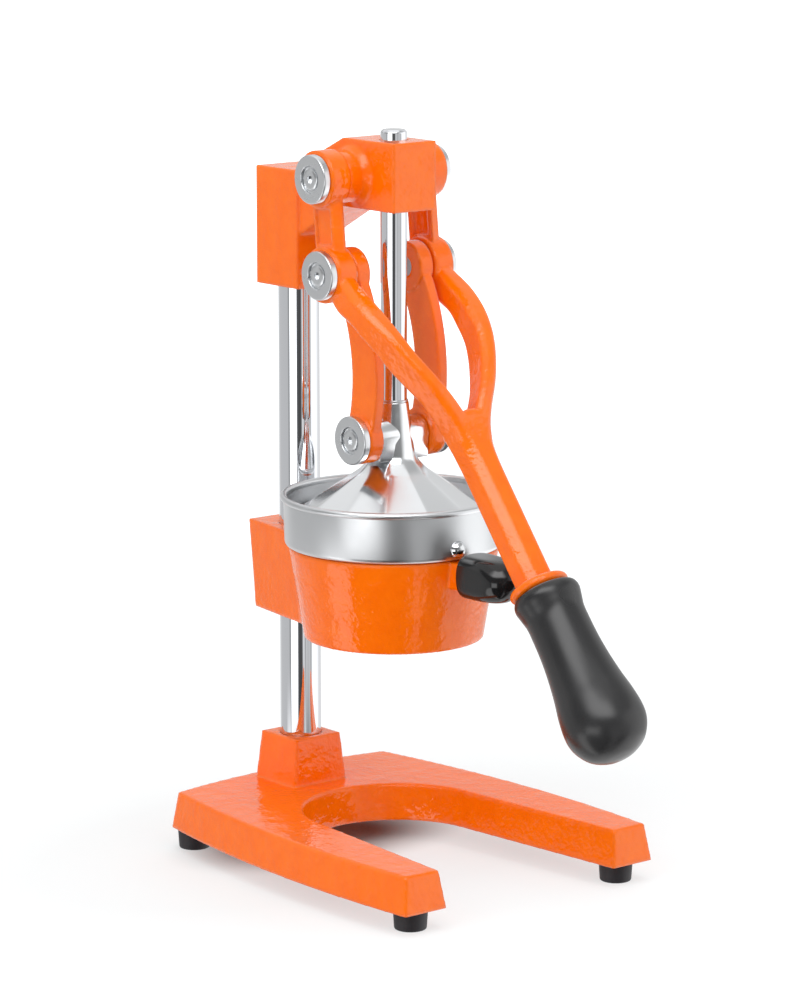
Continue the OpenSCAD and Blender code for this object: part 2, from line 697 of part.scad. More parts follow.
module reamer_cone() {
    color(polished) placed() rotate(cup_turn) translate([0, 0, cup_floor_z]) difference() {
        union() {
            cylinder(h = reamer_flange_t, r = reamer_flange_r);
            translate([0, 0, reamer_flange_t]) reamer_dome(reamer_core_share);
            intersection() {
                translate([0, 0, reamer_flange_t]) reamer_dome(1);
                union() for (k = [0 : reamer_ribs - 1])
                    rotate((k + 0.5) * 360 / reamer_ribs) translate([0, -reamer_rib_w / 2, 0])
                        cube([reamer_flange_r, reamer_rib_w, reamer_h + over]);
            }
        }
        translate([0, 0, -over]) scale(reamer_core_share - reamer_wall / reamer_flange_r)
            translate([0, 0, over]) reamer_dome(1);
        translate([0, 0, -over]) cylinder(h = over + over / 10, r = reamer_eye_share * reamer_flange_r);
    }
}

// Head casting
ramp_start = 7.6;
ramp_low = 2;
gusset_start = 25.7;
gusset_drop = 33.7;
post_face = post_y - socket_front;
module head_profile() {
    polygon([[-head_front, head_low], [gusset_start, head_low], [post_face, head_pivot_z - gusset_drop],
             [post_face + over, head_pivot_z - gusset_drop],
             [post_face + over, head_pivot_z - socket_top_drop - over],
             [post_face, head_pivot_z + ramp_low], [ramp_start + head_pivot_y, head_top],
             [-head_front, head_top]]);
}
boss_in = head_half_w - over;
boss_out = eye_in - face_gap;
boss_blend = 3;
screw_deep = 12;
module head_casting() {
    color(orange) placed() difference() {
        union() {
            rotate([90, 0, 90]) linear_extrude(2 * head_half_w, center = true) head_profile();
            translate([-socket_half_w, post_face, socket_low])
                cube([2 * socket_half_w, socket_front + head_back, socket_top - socket_low]);
            both_sides() {
                across(boss_in, boss_out, boss_r, head_pivot_y, head_pivot_z);
                translate([head_half_w, head_pivot_y, head_pivot_z]) rotate([0, 90, 0])
                    cylinder(h = boss_blend, r1 = boss_r + boss_blend, r2 = boss_r);
            }
        }
        translate([0, 0, head_low - over]) cylinder(h = head_top - head_low + 2 * over, r = rod_r + run_gap);
        translate([0, post_y, socket_low - over])
            cylinder(h = post_top - socket_low + over + face_gap, r = post_r + screw_gap);
        both_sides() across(boss_out - screw_deep, boss_out + over, pivot_r + screw_gap, head_pivot_y, head_pivot_z);
        translate([0, post_y, socket_low + socket_top_drop + post_r]) rotate([-90, 0, 0])
            cylinder(h = head_back + over, r = set_screw_r + screw_gap);
    }
}
module head_set_screw() set_screw(socket_low + socket_top_drop + post_r, head_back);

// Pivot caps with a round recess, and the socket-head screws that hold them
cap_recess_r = cap_r * 0.56;
cap_recess = cap_t * 0.45;
button_r = cap_r * 0.44;
button_h = cap_recess * 0.9;
hex_r = cap_r * 0.17;
cap_edge = 0.6;
module pivot_cap(x, y, z) {
    translate([x, y, z]) rotate([0, 90, 0]) difference() {
        union() {
            cylinder(h = cap_t - cap_edge, r = cap_r);
            translate([0, 0, cap_t - cap_edge]) cylinder(h = cap_edge, r1 = cap_r, r2 = cap_r - cap_edge);
        }
        translate([0, 0, cap_t - cap_recess]) cylinder(h = cap_recess + over, r = cap_recess_r);
        translate([0, 0, -over]) cylinder(h = cap_t + 2 * over, r = pivot_r + screw_gap);
    }
}
module pivot_screw(x_in, x_cap, y, z) {
    seat = x_cap + cap_t - cap_recess;
    difference() {
        union() {
            across(x_in, seat + button_h, pivot_r, y, z);
            across(seat, seat + button_h, button_r, y, z);
        }
        translate([seat, y, z]) rotate([0, 90, 0]) cylinder(h = button_h + over, r = hex_r, $fn = 6);
    }
}
module head_pivot_caps() {
    color(chrome) placed() both_sides() pivot_cap(lever_cap_in, head_pivot_y, head_pivot_z);
}
module head_pivot_screws() {
    color(steel) placed() both_sides()
        pivot_screw(boss_out - screw_deep + over, lever_cap_in, head_pivot_y, head_pivot_z);
}
module lever_pivot_caps() {
    color(chrome) placed() both_sides() pivot_cap(eye_out, link_pivot_y, link_pivot_z);
}
module lever_pivot_screws() {
    color(steel) placed() both_sides() pivot_screw(eye_in, eye_out, link_pivot_y, link_pivot_z);
}
module press_pivot_caps() {
    color(chrome) placed() both_sides() pivot_cap(press_cap_in, 0, press_pivot_z);
}
press_screw_in = 8.4;
module press_pivot_screws() {
    color(steel) placed() both_sides() pivot_screw(press_screw_in, press_cap_in, 0, press_pivot_z);
}

// Lever casting
// Rows of the right prong: along, inner edge, outer edge, back and front, each a share of its own size
prong_shares = [[0.02, 0.7, 0.995, -0.81, 0.14], [0.1, 0.708, 1, -0.74, 0.39], [0.19, 0.7, 1.05, -0.576, 0.65],
                [0.27, 0.7, 1.04, -0.29, 0.87], [0.36, 0.668, 1.004, -0.143, 1.05], [0.46, 0.63, 0.914, -0.02, 1.18],
                [0.55, 0.55, 0.823, -0.004, 1.195], [0.64, 0.43, 0.697, 0.01, 1.19], [0.73, 0.285, 0.557, 0, 1.11],
                [0.82, 0.128, 0.407, -0.22, 0.91], [0.9, 0.03, 0.307, -0.43, 0.715], [1, 0.02, 0.22, -0.5, 0.555]];
prong_steps = 3;
edge_share = 0.24;
// Eight points round a bar of the lever, with its four edges broken
function bar_ring(s, x0, x1, n0, n1) =
    let (c = edge_share * min(x1 - x0, n1 - n0))
    [for (p = [[x0 + c, n0], [x1 - c, n0], [x1, n0 + c], [x1, n1 - c],
               [x1 - c, n1], [x0 + c, n1], [x0, n1 - c], [x0, n0 + c]]) lever_point(p[0], s, p[1])];
module prong() {
    rows = smooth(prong_shares, prong_steps);
    loft([for (q = rows) bar_ring(q[0] * fork_len, q[1] * eye_out, q[2] * eye_out, q[3] * prong_depth,
                                  q[4] * prong_bow)]);
}
// Rows of the shaft: along, half width, back and front, as shares of the shaft's half width
shaft_shares = [[0.825, 0.5, -0.45, 1.26], [0.85, 1.25, -0.6, 1.3], [0.885, 1.36, -0.74, 1.2],
                [0.935, 1.22, -0.87, 1.1], [1, 1.08, -0.96, 1.02], [1.1, 1, -1, 1], [1.3, 1, -1, 1],
                [1.5, 1, -1, 1]];
module shaft() {
    top = smooth([for (q = shaft_shares) [q[0] * fork_len, q[1] * shaft_half_w, q[2] * shaft_half_w,
                                          q[3] * shaft_half_w]], 3);
    rows = concat([for (q = top) if (q[0] < collar_s) q],
                  [[collar_s, shaft_half_w, -shaft_half_w, shaft_half_w]]);
    loft([for (q = rows) bar_ring(q[0], -q[1], q[1], q[2], q[3])]);
}
// Stands a body of revolution on the shaft's axis at s, with its own axis along the shaft
module on_shaft(s, n, slope) {
    translate(lever_point(0, s, n)) rotate([90 + slope, 0, 0]) children();
}
crank_bevel = 2.4;
pocket_share = 0.3;
module crank_arm() {
    pocket_h = crank_len - 2 * eye_r - 2 * over;
    half_t = crank_t / 2;
    half_w = crank_w / 2;
    translate([eye_mid, head_pivot_y, head_pivot_z]) rotate([-crank_lean, 0, 0]) difference() {
        translate([0, 0, -crank_len]) linear_extrude(crank_len)
            polygon([[-half_t, -half_w], [half_t, crank_bevel - half_w], [half_t, half_w - crank_bevel],
                     [-half_t, half_w]]);
        for (x = [-half_t - over, half_t - crank_pocket])
            translate([x, -pocket_share * crank_w, -(crank_len + pocket_h) / 2])
                cube([crank_pocket + over, 2 * pocket_share * crank_w, pocket_h]);
    }
}
module lever_casting() {
    color(orange) placed() difference() {
        union() {
            both_sides() {
                across(eye_in, eye_out, eye_r, head_pivot_y, head_pivot_z);
                across(eye_in, eye_out, eye_r, link_pivot_y, link_pivot_z);
                crank_arm();
                prong();
            }
            shaft();
            on_shaft(collar_s, collar_lift, lever_slope) rotate_extrude() {
                translate([0, -collar_t / 2]) square([collar_r - collar_t / 2, collar_t]);
                translate([collar_r - collar_t / 2, 0]) circle(r = collar_t / 2, $fn = 32);
            }
            on_shaft(collar_s, 0, lever_slope) cylinder(h = tang_len, r = tang_r);
        }
        both_sides() across(eye_in - over, eye_out + over, pivot_r + run_gap, head_pivot_y, head_pivot_z);
        both_sides() across(eye_in - over, eye_out + over, pivot_r + screw_gap, link_pivot_y, link_pivot_z);
    }
}
module lever_grip() {
    color(black) placed() difference() {
        translate(grip_origin) rotate([90 + grip_slope, 0, 0])
            rotate_extrude() polygon(concat([[0, 0]], grip_profile));
        on_shaft(collar_s, 0, lever_slope) cylinder(h = tang_len + over, r = tang_r + screw_gap);
    }
}

// Links, drawn for the right side
bow_r = (link_len * link_len / 4 + link_bow * link_bow) / (2 * link_bow);
module link_bar() {
    half = asin(link_len / 2 / bow_r);
    translate([0, 0, press_pivot_z]) rotate([-link_lean, 0, 0])
        translate([link_mid - link_bar_t / 2, bow_r - link_bow, link_len / 2]) rotate([90, 0, 90])
            linear_extrude(link_bar_t) intersection() {
                difference() {
                    circle(r = bow_r + link_bar_w / 2, $fn = big_fn);
                    circle(r = bow_r - link_bar_w / 2, $fn = big_fn);
                }
                polygon([[0, 0], [-2 * bow_r * cos(half), -2 * bow_r * sin(half)],
                         [-2 * bow_r * cos(half), 2 * bow_r * sin(half)]]);
            }
}
module link_body() {
    difference() {
        union() {
            link_bar();
            across(link_in, link_out, link_top_eye_r, link_pivot_y, link_pivot_z);
            across(link_in, link_out, link_low_eye_r, 0, press_pivot_z);
        }
        across(link_in - over, link_out + over, pivot_r, link_pivot_y, link_pivot_z);
        across(link_in - over, link_out + over, pivot_r + run_gap, 0, press_pivot_z);
    }
}
module right_link() color(orange) placed() link_body();
module left_link() color(orange) placed() mirror([1, 0, 0]) link_body();
stud_sink = 1.2;
module link_stud() across(link_in + stud_sink, link_out, pivot_r, link_pivot_y, link_pivot_z);
module right_link_stud() color(steel) placed() link_stud();
module left_link_stud() color(steel) placed() mirror([1, 0, 0]) link_stud();

// Press bell
neck_rise = 17.2;
neck_top = press_pivot_z + neck_rise;
neck_r = 7.8;
cone_top_r = 17.2;
cone_top_drop = 17.1;
lug_block_share = 0.925;
skirt_top_drop = 10.8;
skirt_low_drop = 21;
skirt_top = rim_z - skirt_top_drop;
skirt_low = rim_z - skirt_low_drop;
// Rows of the neck's flare: radius and height, as shares of the cone's top
flare_shares = [[1, -1], [0.675, -0.64], [0.593, 0], [0.517, 0.5]];
// Rows of the bell's outside: radius and height
bell_rows = concat([[bell_r, skirt_low], [bell_r, skirt_top]],
                   [for (q = flare_shares) [q[0] * cone_top_r, press_pivot_z + q[1] * cone_top_drop]],
                   [[neck_r, neck_top]]);
function flat_ring(r, z) =
    [for (k = [0 : bell_flats - 1]) let (w = (k + 0.5) * 360 / bell_flats) [r * cos(w), r * sin(w), z]];
spigot_r = 4.5;
spigot_deep = 26;
module bell_lug() {
    translate([0, 0, press_pivot_z]) {
        across(0, lug_half_w, lug_r, 0, 0);
        translate([0, -lug_r * lug_block_share, -lug_r * 1.2])
            cube([lug_half_w, 2 * lug_r * lug_block_share, lug_r * 1.2]);
        rotate([90, 0, 0]) linear_extrude(2 * lug_r * 0.8, center = true)
            polygon([[0, 0], [lug_half_w, 0], [lug_half_w * 0.55, lug_r * 1.5], [0, lug_r * 1.7]]);
    }
}
module press_bell() {
    inner_r = bell_r * cos(180 / bell_flats) - bell_wall;
    roof = press_pivot_z - cone_top_drop - bell_wall;
    color(polished) placed() difference() {
        union() {
            loft([for (q = bell_rows) flat_ring(q[0], q[1])]);
            both_sides() bell_lug();
        }
        rotate_extrude() polygon([[0, skirt_low - over], [inner_r, skirt_low - over],
                                  [inner_r, skirt_top - bell_wall / 2],
                                  [cone_top_r - bell_wall, roof], [0, roof]]);
        translate([0, 0, neck_top - spigot_deep]) cylinder(h = spigot_deep + over, r = spigot_r + screw_gap);
        both_sides() across(press_screw_in - over, lug_half_w + over, pivot_r + screw_gap, 0, press_pivot_z);
    }
}

// Rod with its spigot in the bell's neck, and the washer between them
rod_washer_t = 1.1;
rod_washer_r = 7.3;
rod_chamfer = 1.2;
rod_foot = neck_top + rod_washer_t;
module rod_washer() {
    color(steel) placed() translate([0, 0, neck_top]) difference() {
        cylinder(h = rod_washer_t, r = rod_washer_r);
        translate([0, 0, -over]) cylinder(h = rod_washer_t + 2 * over, r = spigot_r + screw_gap);
    }
}
module press_rod() {
    color(chrome) placed() union() {
        translate([0, 0, rod_foot]) cylinder(h = rod_top - rod_chamfer - rod_foot, r = rod_r);
        translate([0, 0, rod_top - rod_chamfer]) cylinder(h = rod_chamfer, r1 = rod_r, r2 = rod_r - rod_chamfer);
        translate([0, 0, neck_top - spigot_deep + over])
            cylinder(h = rod_foot - neck_top + spigot_deep, r = spigot_r);
    }
}

base_casting();
foot_front_left();
foot_front_right();
foot_rear_left();
foot_rear_right();
foot_screws();
post();
post_washer();
post_bolt();
holder_casting();
holder_set_screw();
front_grip();
strainer_cup();
cup_rivet();
reamer_cone();
head_casting();
head_set_screw();
head_pivot_screws();
head_pivot_caps();
lever_casting();
lever_grip();
lever_pivot_screws();
lever_pivot_caps();
left_link();
right_link();
left_link_stud();
right_link_stud();
press_bell();
press_pivot_screws();
press_pivot_caps();
rod_washer();
press_rod();
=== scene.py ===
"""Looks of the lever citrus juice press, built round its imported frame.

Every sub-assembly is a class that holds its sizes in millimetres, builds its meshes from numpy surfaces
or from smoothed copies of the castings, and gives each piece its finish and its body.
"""

from __future__ import annotations

import json
import logging
import math
from dataclasses import dataclass
from enum import Enum
from typing import ClassVar, Sequence

import bmesh
import bpy
import numpy as np
from bpy.types import Material, Mesh, Node, NodeTree, Object
from mathutils import Matrix, Vector

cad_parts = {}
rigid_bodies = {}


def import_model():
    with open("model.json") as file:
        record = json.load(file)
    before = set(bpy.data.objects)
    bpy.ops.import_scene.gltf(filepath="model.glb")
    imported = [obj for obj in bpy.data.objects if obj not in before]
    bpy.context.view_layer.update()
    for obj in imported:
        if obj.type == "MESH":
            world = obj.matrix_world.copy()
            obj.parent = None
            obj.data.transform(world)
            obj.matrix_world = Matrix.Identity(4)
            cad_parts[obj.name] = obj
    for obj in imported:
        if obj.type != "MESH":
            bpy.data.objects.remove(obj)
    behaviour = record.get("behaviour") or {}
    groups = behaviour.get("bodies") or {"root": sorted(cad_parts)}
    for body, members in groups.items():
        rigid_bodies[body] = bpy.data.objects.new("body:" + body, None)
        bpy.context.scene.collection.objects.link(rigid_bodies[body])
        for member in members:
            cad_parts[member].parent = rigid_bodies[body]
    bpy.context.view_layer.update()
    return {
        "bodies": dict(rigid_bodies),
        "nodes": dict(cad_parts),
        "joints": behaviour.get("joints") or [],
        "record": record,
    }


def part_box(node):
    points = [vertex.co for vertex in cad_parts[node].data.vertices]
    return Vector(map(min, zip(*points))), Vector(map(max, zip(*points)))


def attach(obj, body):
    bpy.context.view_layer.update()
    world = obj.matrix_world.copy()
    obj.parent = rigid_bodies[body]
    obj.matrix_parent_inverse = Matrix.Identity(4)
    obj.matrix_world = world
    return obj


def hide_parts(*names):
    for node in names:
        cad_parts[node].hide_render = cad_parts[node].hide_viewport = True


LOG = logging.getLogger("juice_press")
Triple = tuple[float, float, float]
Rows = tuple[tuple[float, float], ...]
MM = 0.001


# ---- Small tools for colours, nodes and meshes


def linear(code: str) -> tuple[float, float, float, float]:
    """Turns an sRGB hex colour into linear red, green, blue and alpha.

    Args:
        code: the colour as "#rrggbb".

    Returns:
        The linear colour with full alpha.
    """
    parts = [int(code[i : i + 2], 16) / 255 for i in (1, 3, 5)]
    red, green, blue = (p / 12.92 if p <= 0.04045 else ((p + 0.055) / 1.055) ** 2.4 for p in parts)
    return red, green, blue, 1.0


def add(tree: NodeTree, kind: str, settings: dict | None = None, links: dict | None = None) -> Node:
    """Adds one node with its settings and its links.

    Args:
        tree: the node tree that gets the node.
        kind: the node's Blender type, without the leading "ShaderNode".
        settings: properties of the node by their names, and values of its inputs by their titles or numbers.
        links: for an input's title or number, the (node, output) that feeds it.

    Returns:
        The new node.
    """
    node = tree.nodes.new("ShaderNode" + kind)
    for key, value in (settings or {}).items():
        if isinstance(key, str) and key.islower() and hasattr(node, key):
            setattr(node, key, value)
        else:
            node.inputs[key].default_value = value
    for key, (source, output) in (links or {}).items():
        tree.links.new(source.outputs[output], node.inputs[key])
    return node


def blend_rows(table: np.ndarray, steps: int) -> np.ndarray:
    """Draws a smooth curve through the rows of a table.

    Between two rows the curve is the cubic whose slope at a row is half the step from the row before to
    the row after, and it is read at even steps.

    Args:
        table: the rows, one point each.
        steps: points for each pair of rows.

    Returns:
        The points of the curve.
    """
    before, after = np.vstack([table[:1], table[:-2]]), np.vstack([table[2:], table[-1:]])
    a, b, c, d = (q[:, None, :] for q in (before, table[:-1], table[1:], after))
    t = (np.arange(steps) / steps)[None, :, None]
    curve = 0.5 * (2 * b + (c - a) * t + (2 * a - 5 * b + 4 * c - d) * t**2 + (3 * b - a - 3 * c + d) * t**3)
    return np.vstack([curve.reshape(-1, table.shape[1]), table[-1:]])


def rounded(points: Sequence[Triple], steps: int = 5) -> np.ndarray:
    """Rounds the corners of a profile.

    Each corner gives way to the parabola that leaves one edge and meets the next at the corner's own
    distance, kept below half of either edge.

    Args:
        points: (radius, height, rounding) rows; rounding 0 keeps the corner.
        steps: points for each rounded corner.

    Returns:
        The (radius, height) rows of the rounded profile.
    """
    rows = np.array([p[:2] for p in points], float)
    out = [rows[:1]]
    for i in range(1, len(rows) - 1):
        before, here, after = rows[i - 1], rows[i], rows[i + 1]
        reach = points[i][2]
        if reach <= 0:
            out.append(here[None])
            continue
        near, far = np.linalg.norm(before - here), np.linalg.norm(after - here)
        cut = min(reach, 0.49 * near, 0.49 * far)
        start, end = here + (before - here) * cut / near, here + (after - here) * cut / far
        t = np.linspace(0, 1, steps)[:, None]
        out.append((1 - t) ** 2 * start + 2 * (1 - t) * t * here + t**2 * end)
    out.append(rows[-1:])
    return np.vstack(out)


@dataclass(frozen=True)
class Axes:
    """A place and the three directions that a piece is drawn along."""

    origin: Triple
    along: Triple = (0.0, 0.0, 1.0)
    side: Triple = (1.0, 0.0, 0.0)

    def lay(self, across: np.ndarray, up: np.ndarray, height: np.ndarray) -> np.ndarray:
        """Places points in metres.

        Args:
            across: distance along the side direction, in millimetres.
            up: distance along the third direction, in millimetres.
            height: distance along the axis, in millimetres.

        Returns:
            The points in metres, with a last dimension of three.
        """
        along = np.array(self.along, float)
        along /= np.linalg.norm(along)
        side = np.array(self.side, float)
        side -= along * side.dot(along)
        side /= np.linalg.norm(side)
        third = np.cross(along, side)
        spot = np.array(self.origin, float)
        parts = across[..., None] * side + up[..., None] * third + height[..., None] * along
        return (spot + parts) * MM

    def sweep(self, radius: np.ndarray, angle: np.ndarray, height: np.ndarray) -> np.ndarray:
        """Places points by their distance from the axis, their angle round it and their height along it."""
        return self.lay(radius * np.cos(angle), radius * np.sin(angle), height)


def full_turn(steps: int) -> np.ndarray:
    """Returns the angles of a full turn in even steps, without the last one that closes it."""
    return np.arange(steps) * 2 * math.pi / steps


def turned(profile: np.ndarray, axes: Axes, steps: int = 128) -> np.ndarray:
    """A profile turned round an axis: each row is a circle of the row's radius at the row's height."""
    return axes.sweep(profile[:, :1], full_turn(steps), profile[:, 1:2])


def stand(name: str, data: bpy.types.ID) -> Object:
    """Puts a new object in the scene.

    Args:
        name: the object's name.
        data: its mesh, lamp or camera.

    Returns:
        The object.
    """
    thing = bpy.data.objects.new(name, data)
    bpy.context.scene.collection.objects.link(thing)
    return thing


def weld(mesh: Mesh, gap: float, speck: float, outwards: bool = False) -> None:
    """Joins points that all but touch, and drops what this leaves without area.

    Args:
        mesh: the mesh.
        gap: the distance in metres up to which points are joined.
        speck: the length in metres of the edges to drop.
        outwards: whether the faces are then turned outwards.
    """
    work = bmesh.new()
    work.from_mesh(mesh)
    bmesh.ops.remove_doubles(work, verts=work.verts, dist=gap)
    bmesh.ops.dissolve_degenerate(work, edges=work.edges, dist=speck)
    if outwards:
        bmesh.ops.recalc_face_normals(work, faces=work.faces)
    work.to_mesh(mesh)
    work.free()


def piece(name: str, grids: Sequence[np.ndarray], ring: bool = False, sharp: float = 32.0) -> Object:
    """Makes one object from grids of points, each closed round its second direction.

    Neighbouring rows and columns are joined by four-sided faces. Rows that meet in a point are welded,
    and the normals are then turned outwards.

    Args:
        name: the piece's name.
        grids: arrays of shape (rows, columns, 3), in metres.
        ring: whether the last row also joins the first.
        sharp: the angle in degrees above which an edge stays sharp.

    Returns:
        The object, at the origin, in the scene.
    """
    points, faces, offset = [], [], 0
    for grid in grids:
        rows, columns = grid.shape[:2]
        index = offset + np.arange(rows * columns).reshape(rows, columns)
        low = index if ring else index[:-1]
        high = np.roll(index, -1, axis=0) if ring else index[1:]
        quads = np.stack([low, np.roll(low, -1, 1), np.roll(high, -1, 1), high], axis=-1)
        points.append(grid.reshape(-1, 3))
        faces.append(quads.reshape(-1, 4))
        offset += rows * columns
    mesh = bpy.data.meshes.new(name)
    mesh.from_pydata(np.vstack(points).tolist(), [], np.vstack(faces).tolist())
    weld(mesh, gap=1e-7, speck=1e-8, outwards=True)
    return shown(name, mesh, sharp)


def shown(name: str, mesh: Mesh, sharp: float = 180.0) -> Object:
    """Puts a mesh in the scene with smooth shading, broken where faces meet at more than an angle.

    Args:
        name: the object's name.
        mesh: its mesh.
        sharp: the angle in degrees.

    Returns:
        The object.
    """
    mesh.polygons.foreach_set("use_smooth", np.ones(len(mesh.polygons), bool))
    if sharp < 180:
        mesh.set_sharp_from_angle(angle=math.radians(sharp))
    return stand(name, mesh)


def apply_modifiers(thing: Object) -> None:
    """Makes the modifiers of a piece part of its mesh.

    Args:
        thing: the piece.
    """
    graph = bpy.context.evaluated_depsgraph_get()
    mesh = bpy.data.meshes.new_from_object(thing.evaluated_get(graph), depsgraph=graph)
    old = thing.data
    thing.modifiers.clear()
    thing.data = mesh
    mesh.name = thing.name
    bpy.data.meshes.remove(old)
    mesh.polygons.foreach_set("use_smooth", np.ones(len(mesh.polygons), bool))


# ---- Finishes


@dataclass(frozen=True)
class Finish:
    """A finish that is built once and shared by the pieces that have it."""

    name: str
    made: ClassVar[dict[Finish, Material]] = {}

    def material(self) -> Material:
        """Builds this finish's material at its first use.

        Returns:
            The material.
        """
        if self not in Finish.made:
            material, tree = blank(self.name)
            spot = {"Vector": (add(tree, "TexCoord"), "Object")}
            shader = add(tree, "BsdfPrincipled", *self.build(tree, spot))
            add(tree, "OutputMaterial", links={"Surface": (shader, "BSDF")})
            Finish.made[self] = material
        return Finish.made[self]

    def build(self, tree: NodeTree, spot: dict) -> tuple[dict, dict]:
        """Adds the finish's patterns.

        Args:
            tree: the material's node tree.
            spot: the link that feeds a pattern the place on the piece.

        Returns:
            The Principled shader's settings and its links.
        """
        raise NotImplementedError


def blank(name: str) -> tuple[Material, NodeTree]:
    """Makes a material and empties its node tree.

    Args:
        name: the material's name.

    Returns:
        The material and its tree.
    """
    material = bpy.data.materials.new(name)
    material.use_nodes = True
    material.node_tree.nodes.clear()
    return material, material.node_tree


@dataclass(frozen=True)
class Enamel(Finish):
    """Orange enamel baked on a sand casting: deep gloss over a skin that keeps the casting's ripples."""

    colour: str = "#fc7203"
    shade: str = "#f36200"
    shade_share: float = 0.35
    gloss: float = 0.06
    shine: float = 0.45
    ior: float = 1.52
    ripple_mm: float = 2.6
    swell_mm: float = 9.0
    swell_share: float = 1.6
    patches_per_m: float = 24.0
    calm_share: float = 0.45
    depth_mm: float = 0.34
    edge_mm: float = 2.2

    def build(self, tree: NodeTree, spot: dict) -> tuple[dict, dict]:
        """Builds the enamel: ripples of the casting under an even, glossy coat that rounds every edge.

        Where the coat lies thicker, in patches, the ripples fade to the calm share of their height.

        Args:
            tree: the material's node tree.
            spot: the link that feeds a pattern the place on the piece.

        Returns:
            The Principled shader's settings and its links.
        """
        ripple = add(tree, "TexNoise", {"Scale": 1 / (self.ripple_mm * MM), "Detail": 2.0, "Roughness": 0.45}, spot)
        swell = add(tree, "TexNoise", {"Scale": 1 / (self.swell_mm * MM), "Detail": 3.0}, spot)
        patch = add(tree, "TexNoise", {"Scale": self.patches_per_m, "Detail": 2.0}, spot)
        common = {"From Min": 0.35, "From Max": 0.65}
        fade = add(tree, "MapRange", {**common, "To Min": self.calm_share}, {"Value": (patch, "Fac")})
        rough = add(tree, "Math", {"operation": "MULTIPLY"}, {0: (ripple, "Fac"), 1: (fade, "Result")})
        height = add(tree, "Math", {"operation": "MULTIPLY_ADD", 1: self.swell_share},
                     {0: (swell, "Fac"), 2: (rough, "Value")})
        edges = add(tree, "Bevel", {"Radius": self.edge_mm * MM})
        bump = add(tree, "Bump", {"Distance": self.depth_mm * MM},
                   {"Height": (height, "Value"), "Normal": (edges, "Normal")})
        tint = add(tree, "MapRange", {**common, "To Max": self.shade_share}, {"Value": (swell, "Fac")})
        mix = add(tree, "Mix", {"data_type": "RGBA", 6: linear(self.colour), 7: linear(self.shade)},
                  {0: (tint, "Result")})
        wear = add(tree, "MapRange", {"To Min": self.gloss * 0.8, "To Max": self.gloss * 1.5},
                   {"Value": (patch, "Fac")})
        links = {"Base Color": (mix, 2), "Roughness": (wear, "Result"), "Normal": (bump, "Normal")}
        return {"IOR": self.ior, "Specular IOR Level": self.shine}, links


@dataclass(frozen=True)
class Metal(Finish):
    """A bare or plated metal, with fine brush or polish marks that run round the piece or lie at random."""

    colour: str
    gloss: float
    marks_mm: float = 0.0
    depth_mm: float = 0.004
    stretch: Triple = (1.0, 1.0, 1.0)
    haze: float = 0.02
    clouds_per_m: float = 60.0

    def build(self, tree: NodeTree, spot: dict) -> tuple[dict, dict]:
        """Builds the metal: its colour, its marks as bump and a cloudy change of gloss.

        Args:
            tree: the material's node tree.
            spot: the link that feeds a pattern the place on the piece.

        Returns:
            The Principled shader's settings and its links.
        """
        cloud = add(tree, "TexNoise", {"Scale": self.clouds_per_m, "Detail": 4.0}, spot)
        finest = max(0.0, self.gloss - self.haze / 2)
        wear = add(tree, "MapRange",
                   {"From Min": 0.3, "From Max": 0.7, "To Min": finest, "To Max": self.gloss + self.haze},
                   {"Value": (cloud, "Fac")})
        links = {"Roughness": (wear, "Result")}
        if self.marks_mm > 0:
            lay = add(tree, "Mapping", {"Scale": self.stretch}, spot)
            marks = add(tree, "TexNoise", {"Scale": 1 / (self.marks_mm * MM), "Detail": 3.0},
                        {"Vector": (lay, "Vector")})
            bump = add(tree, "Bump", {"Distance": self.depth_mm * MM}, {"Height": (marks, "Fac")})
            links["Normal"] = (bump, "Normal")
        return {"Base Color": linear(self.colour), "Metallic": 1.0}, links


@dataclass(frozen=True)
class Moulded(Finish):
    """A moulded plastic or rubber, with the fine grain of its mould."""

    colour: str
    pale: str
    gloss: float
    grain_mm: float
    depth_mm: float
    shine: float = 0.5
    clouds_per_m: float = 45.0

    def build(self, tree: NodeTree, spot: dict) -> tuple[dict, dict]:
        """Builds the moulding: mould grain as bump, and a slight cloud in its colour and gloss.

        Args:
            tree: the material's node tree.
            spot: the link that feeds a pattern the place on the piece.

        Returns:
            The Principled shader's settings and its links.
        """
        grain = add(tree, "TexNoise", {"Scale": 1 / (self.grain_mm * MM), "Detail": 3.0}, spot)
        cloud = add(tree, "TexNoise", {"Scale": self.clouds_per_m, "Detail": 3.0}, spot)
        bump = add(tree, "Bump", {"Distance": self.depth_mm * MM}, {"Height": (grain, "Fac")})
        mix = add(tree, "Mix", {"data_type": "RGBA", 6: linear(self.colour), 7: linear(self.pale)},
                  {0: (cloud, "Fac")})
        wear = add(tree, "MapRange", {"To Min": self.gloss * 0.85, "To Max": self.gloss * 1.15},
                   {"Value": (cloud, "Fac")})
        links = {"Base Color": (mix, 2), "Roughness": (wear, "Result"), "Normal": (bump, "Normal")}
        return {"Specular IOR Level": self.shine}, links


# Baked enamel, glossy, with the sand casting's skin still showing through
ENAMEL = Enamel("baked_orange_enamel")
# The links are smaller castings with a finer, shallower skin
ENAMEL_FINE = Enamel("baked_orange_enamel_fine", ripple_mm=1.9, depth_mm=0.28)
# Hard chrome on a ground bar: a nearly perfect mirror
CHROME_BAR = Metal("chromed_ground_bar", "#e4e6ea", 0.035, 0.35, 0.0015, stretch=(1.0, 1.0, 0.25))
# Stainless sheet, spun and brushed round the cup
SHEET = Metal("brushed_stainless_sheet", "#d6d8da", 0.33, 0.30, stretch=(0.1, 0.1, 1.0), haze=0.05)
# Cast aluminium, ground flat by flat and polished
BELL = Metal("polished_cast_aluminium", "#e6e8ea", 0.16, 0.8, 0.005, stretch=(1.0, 1.0, 0.2), haze=0.05)
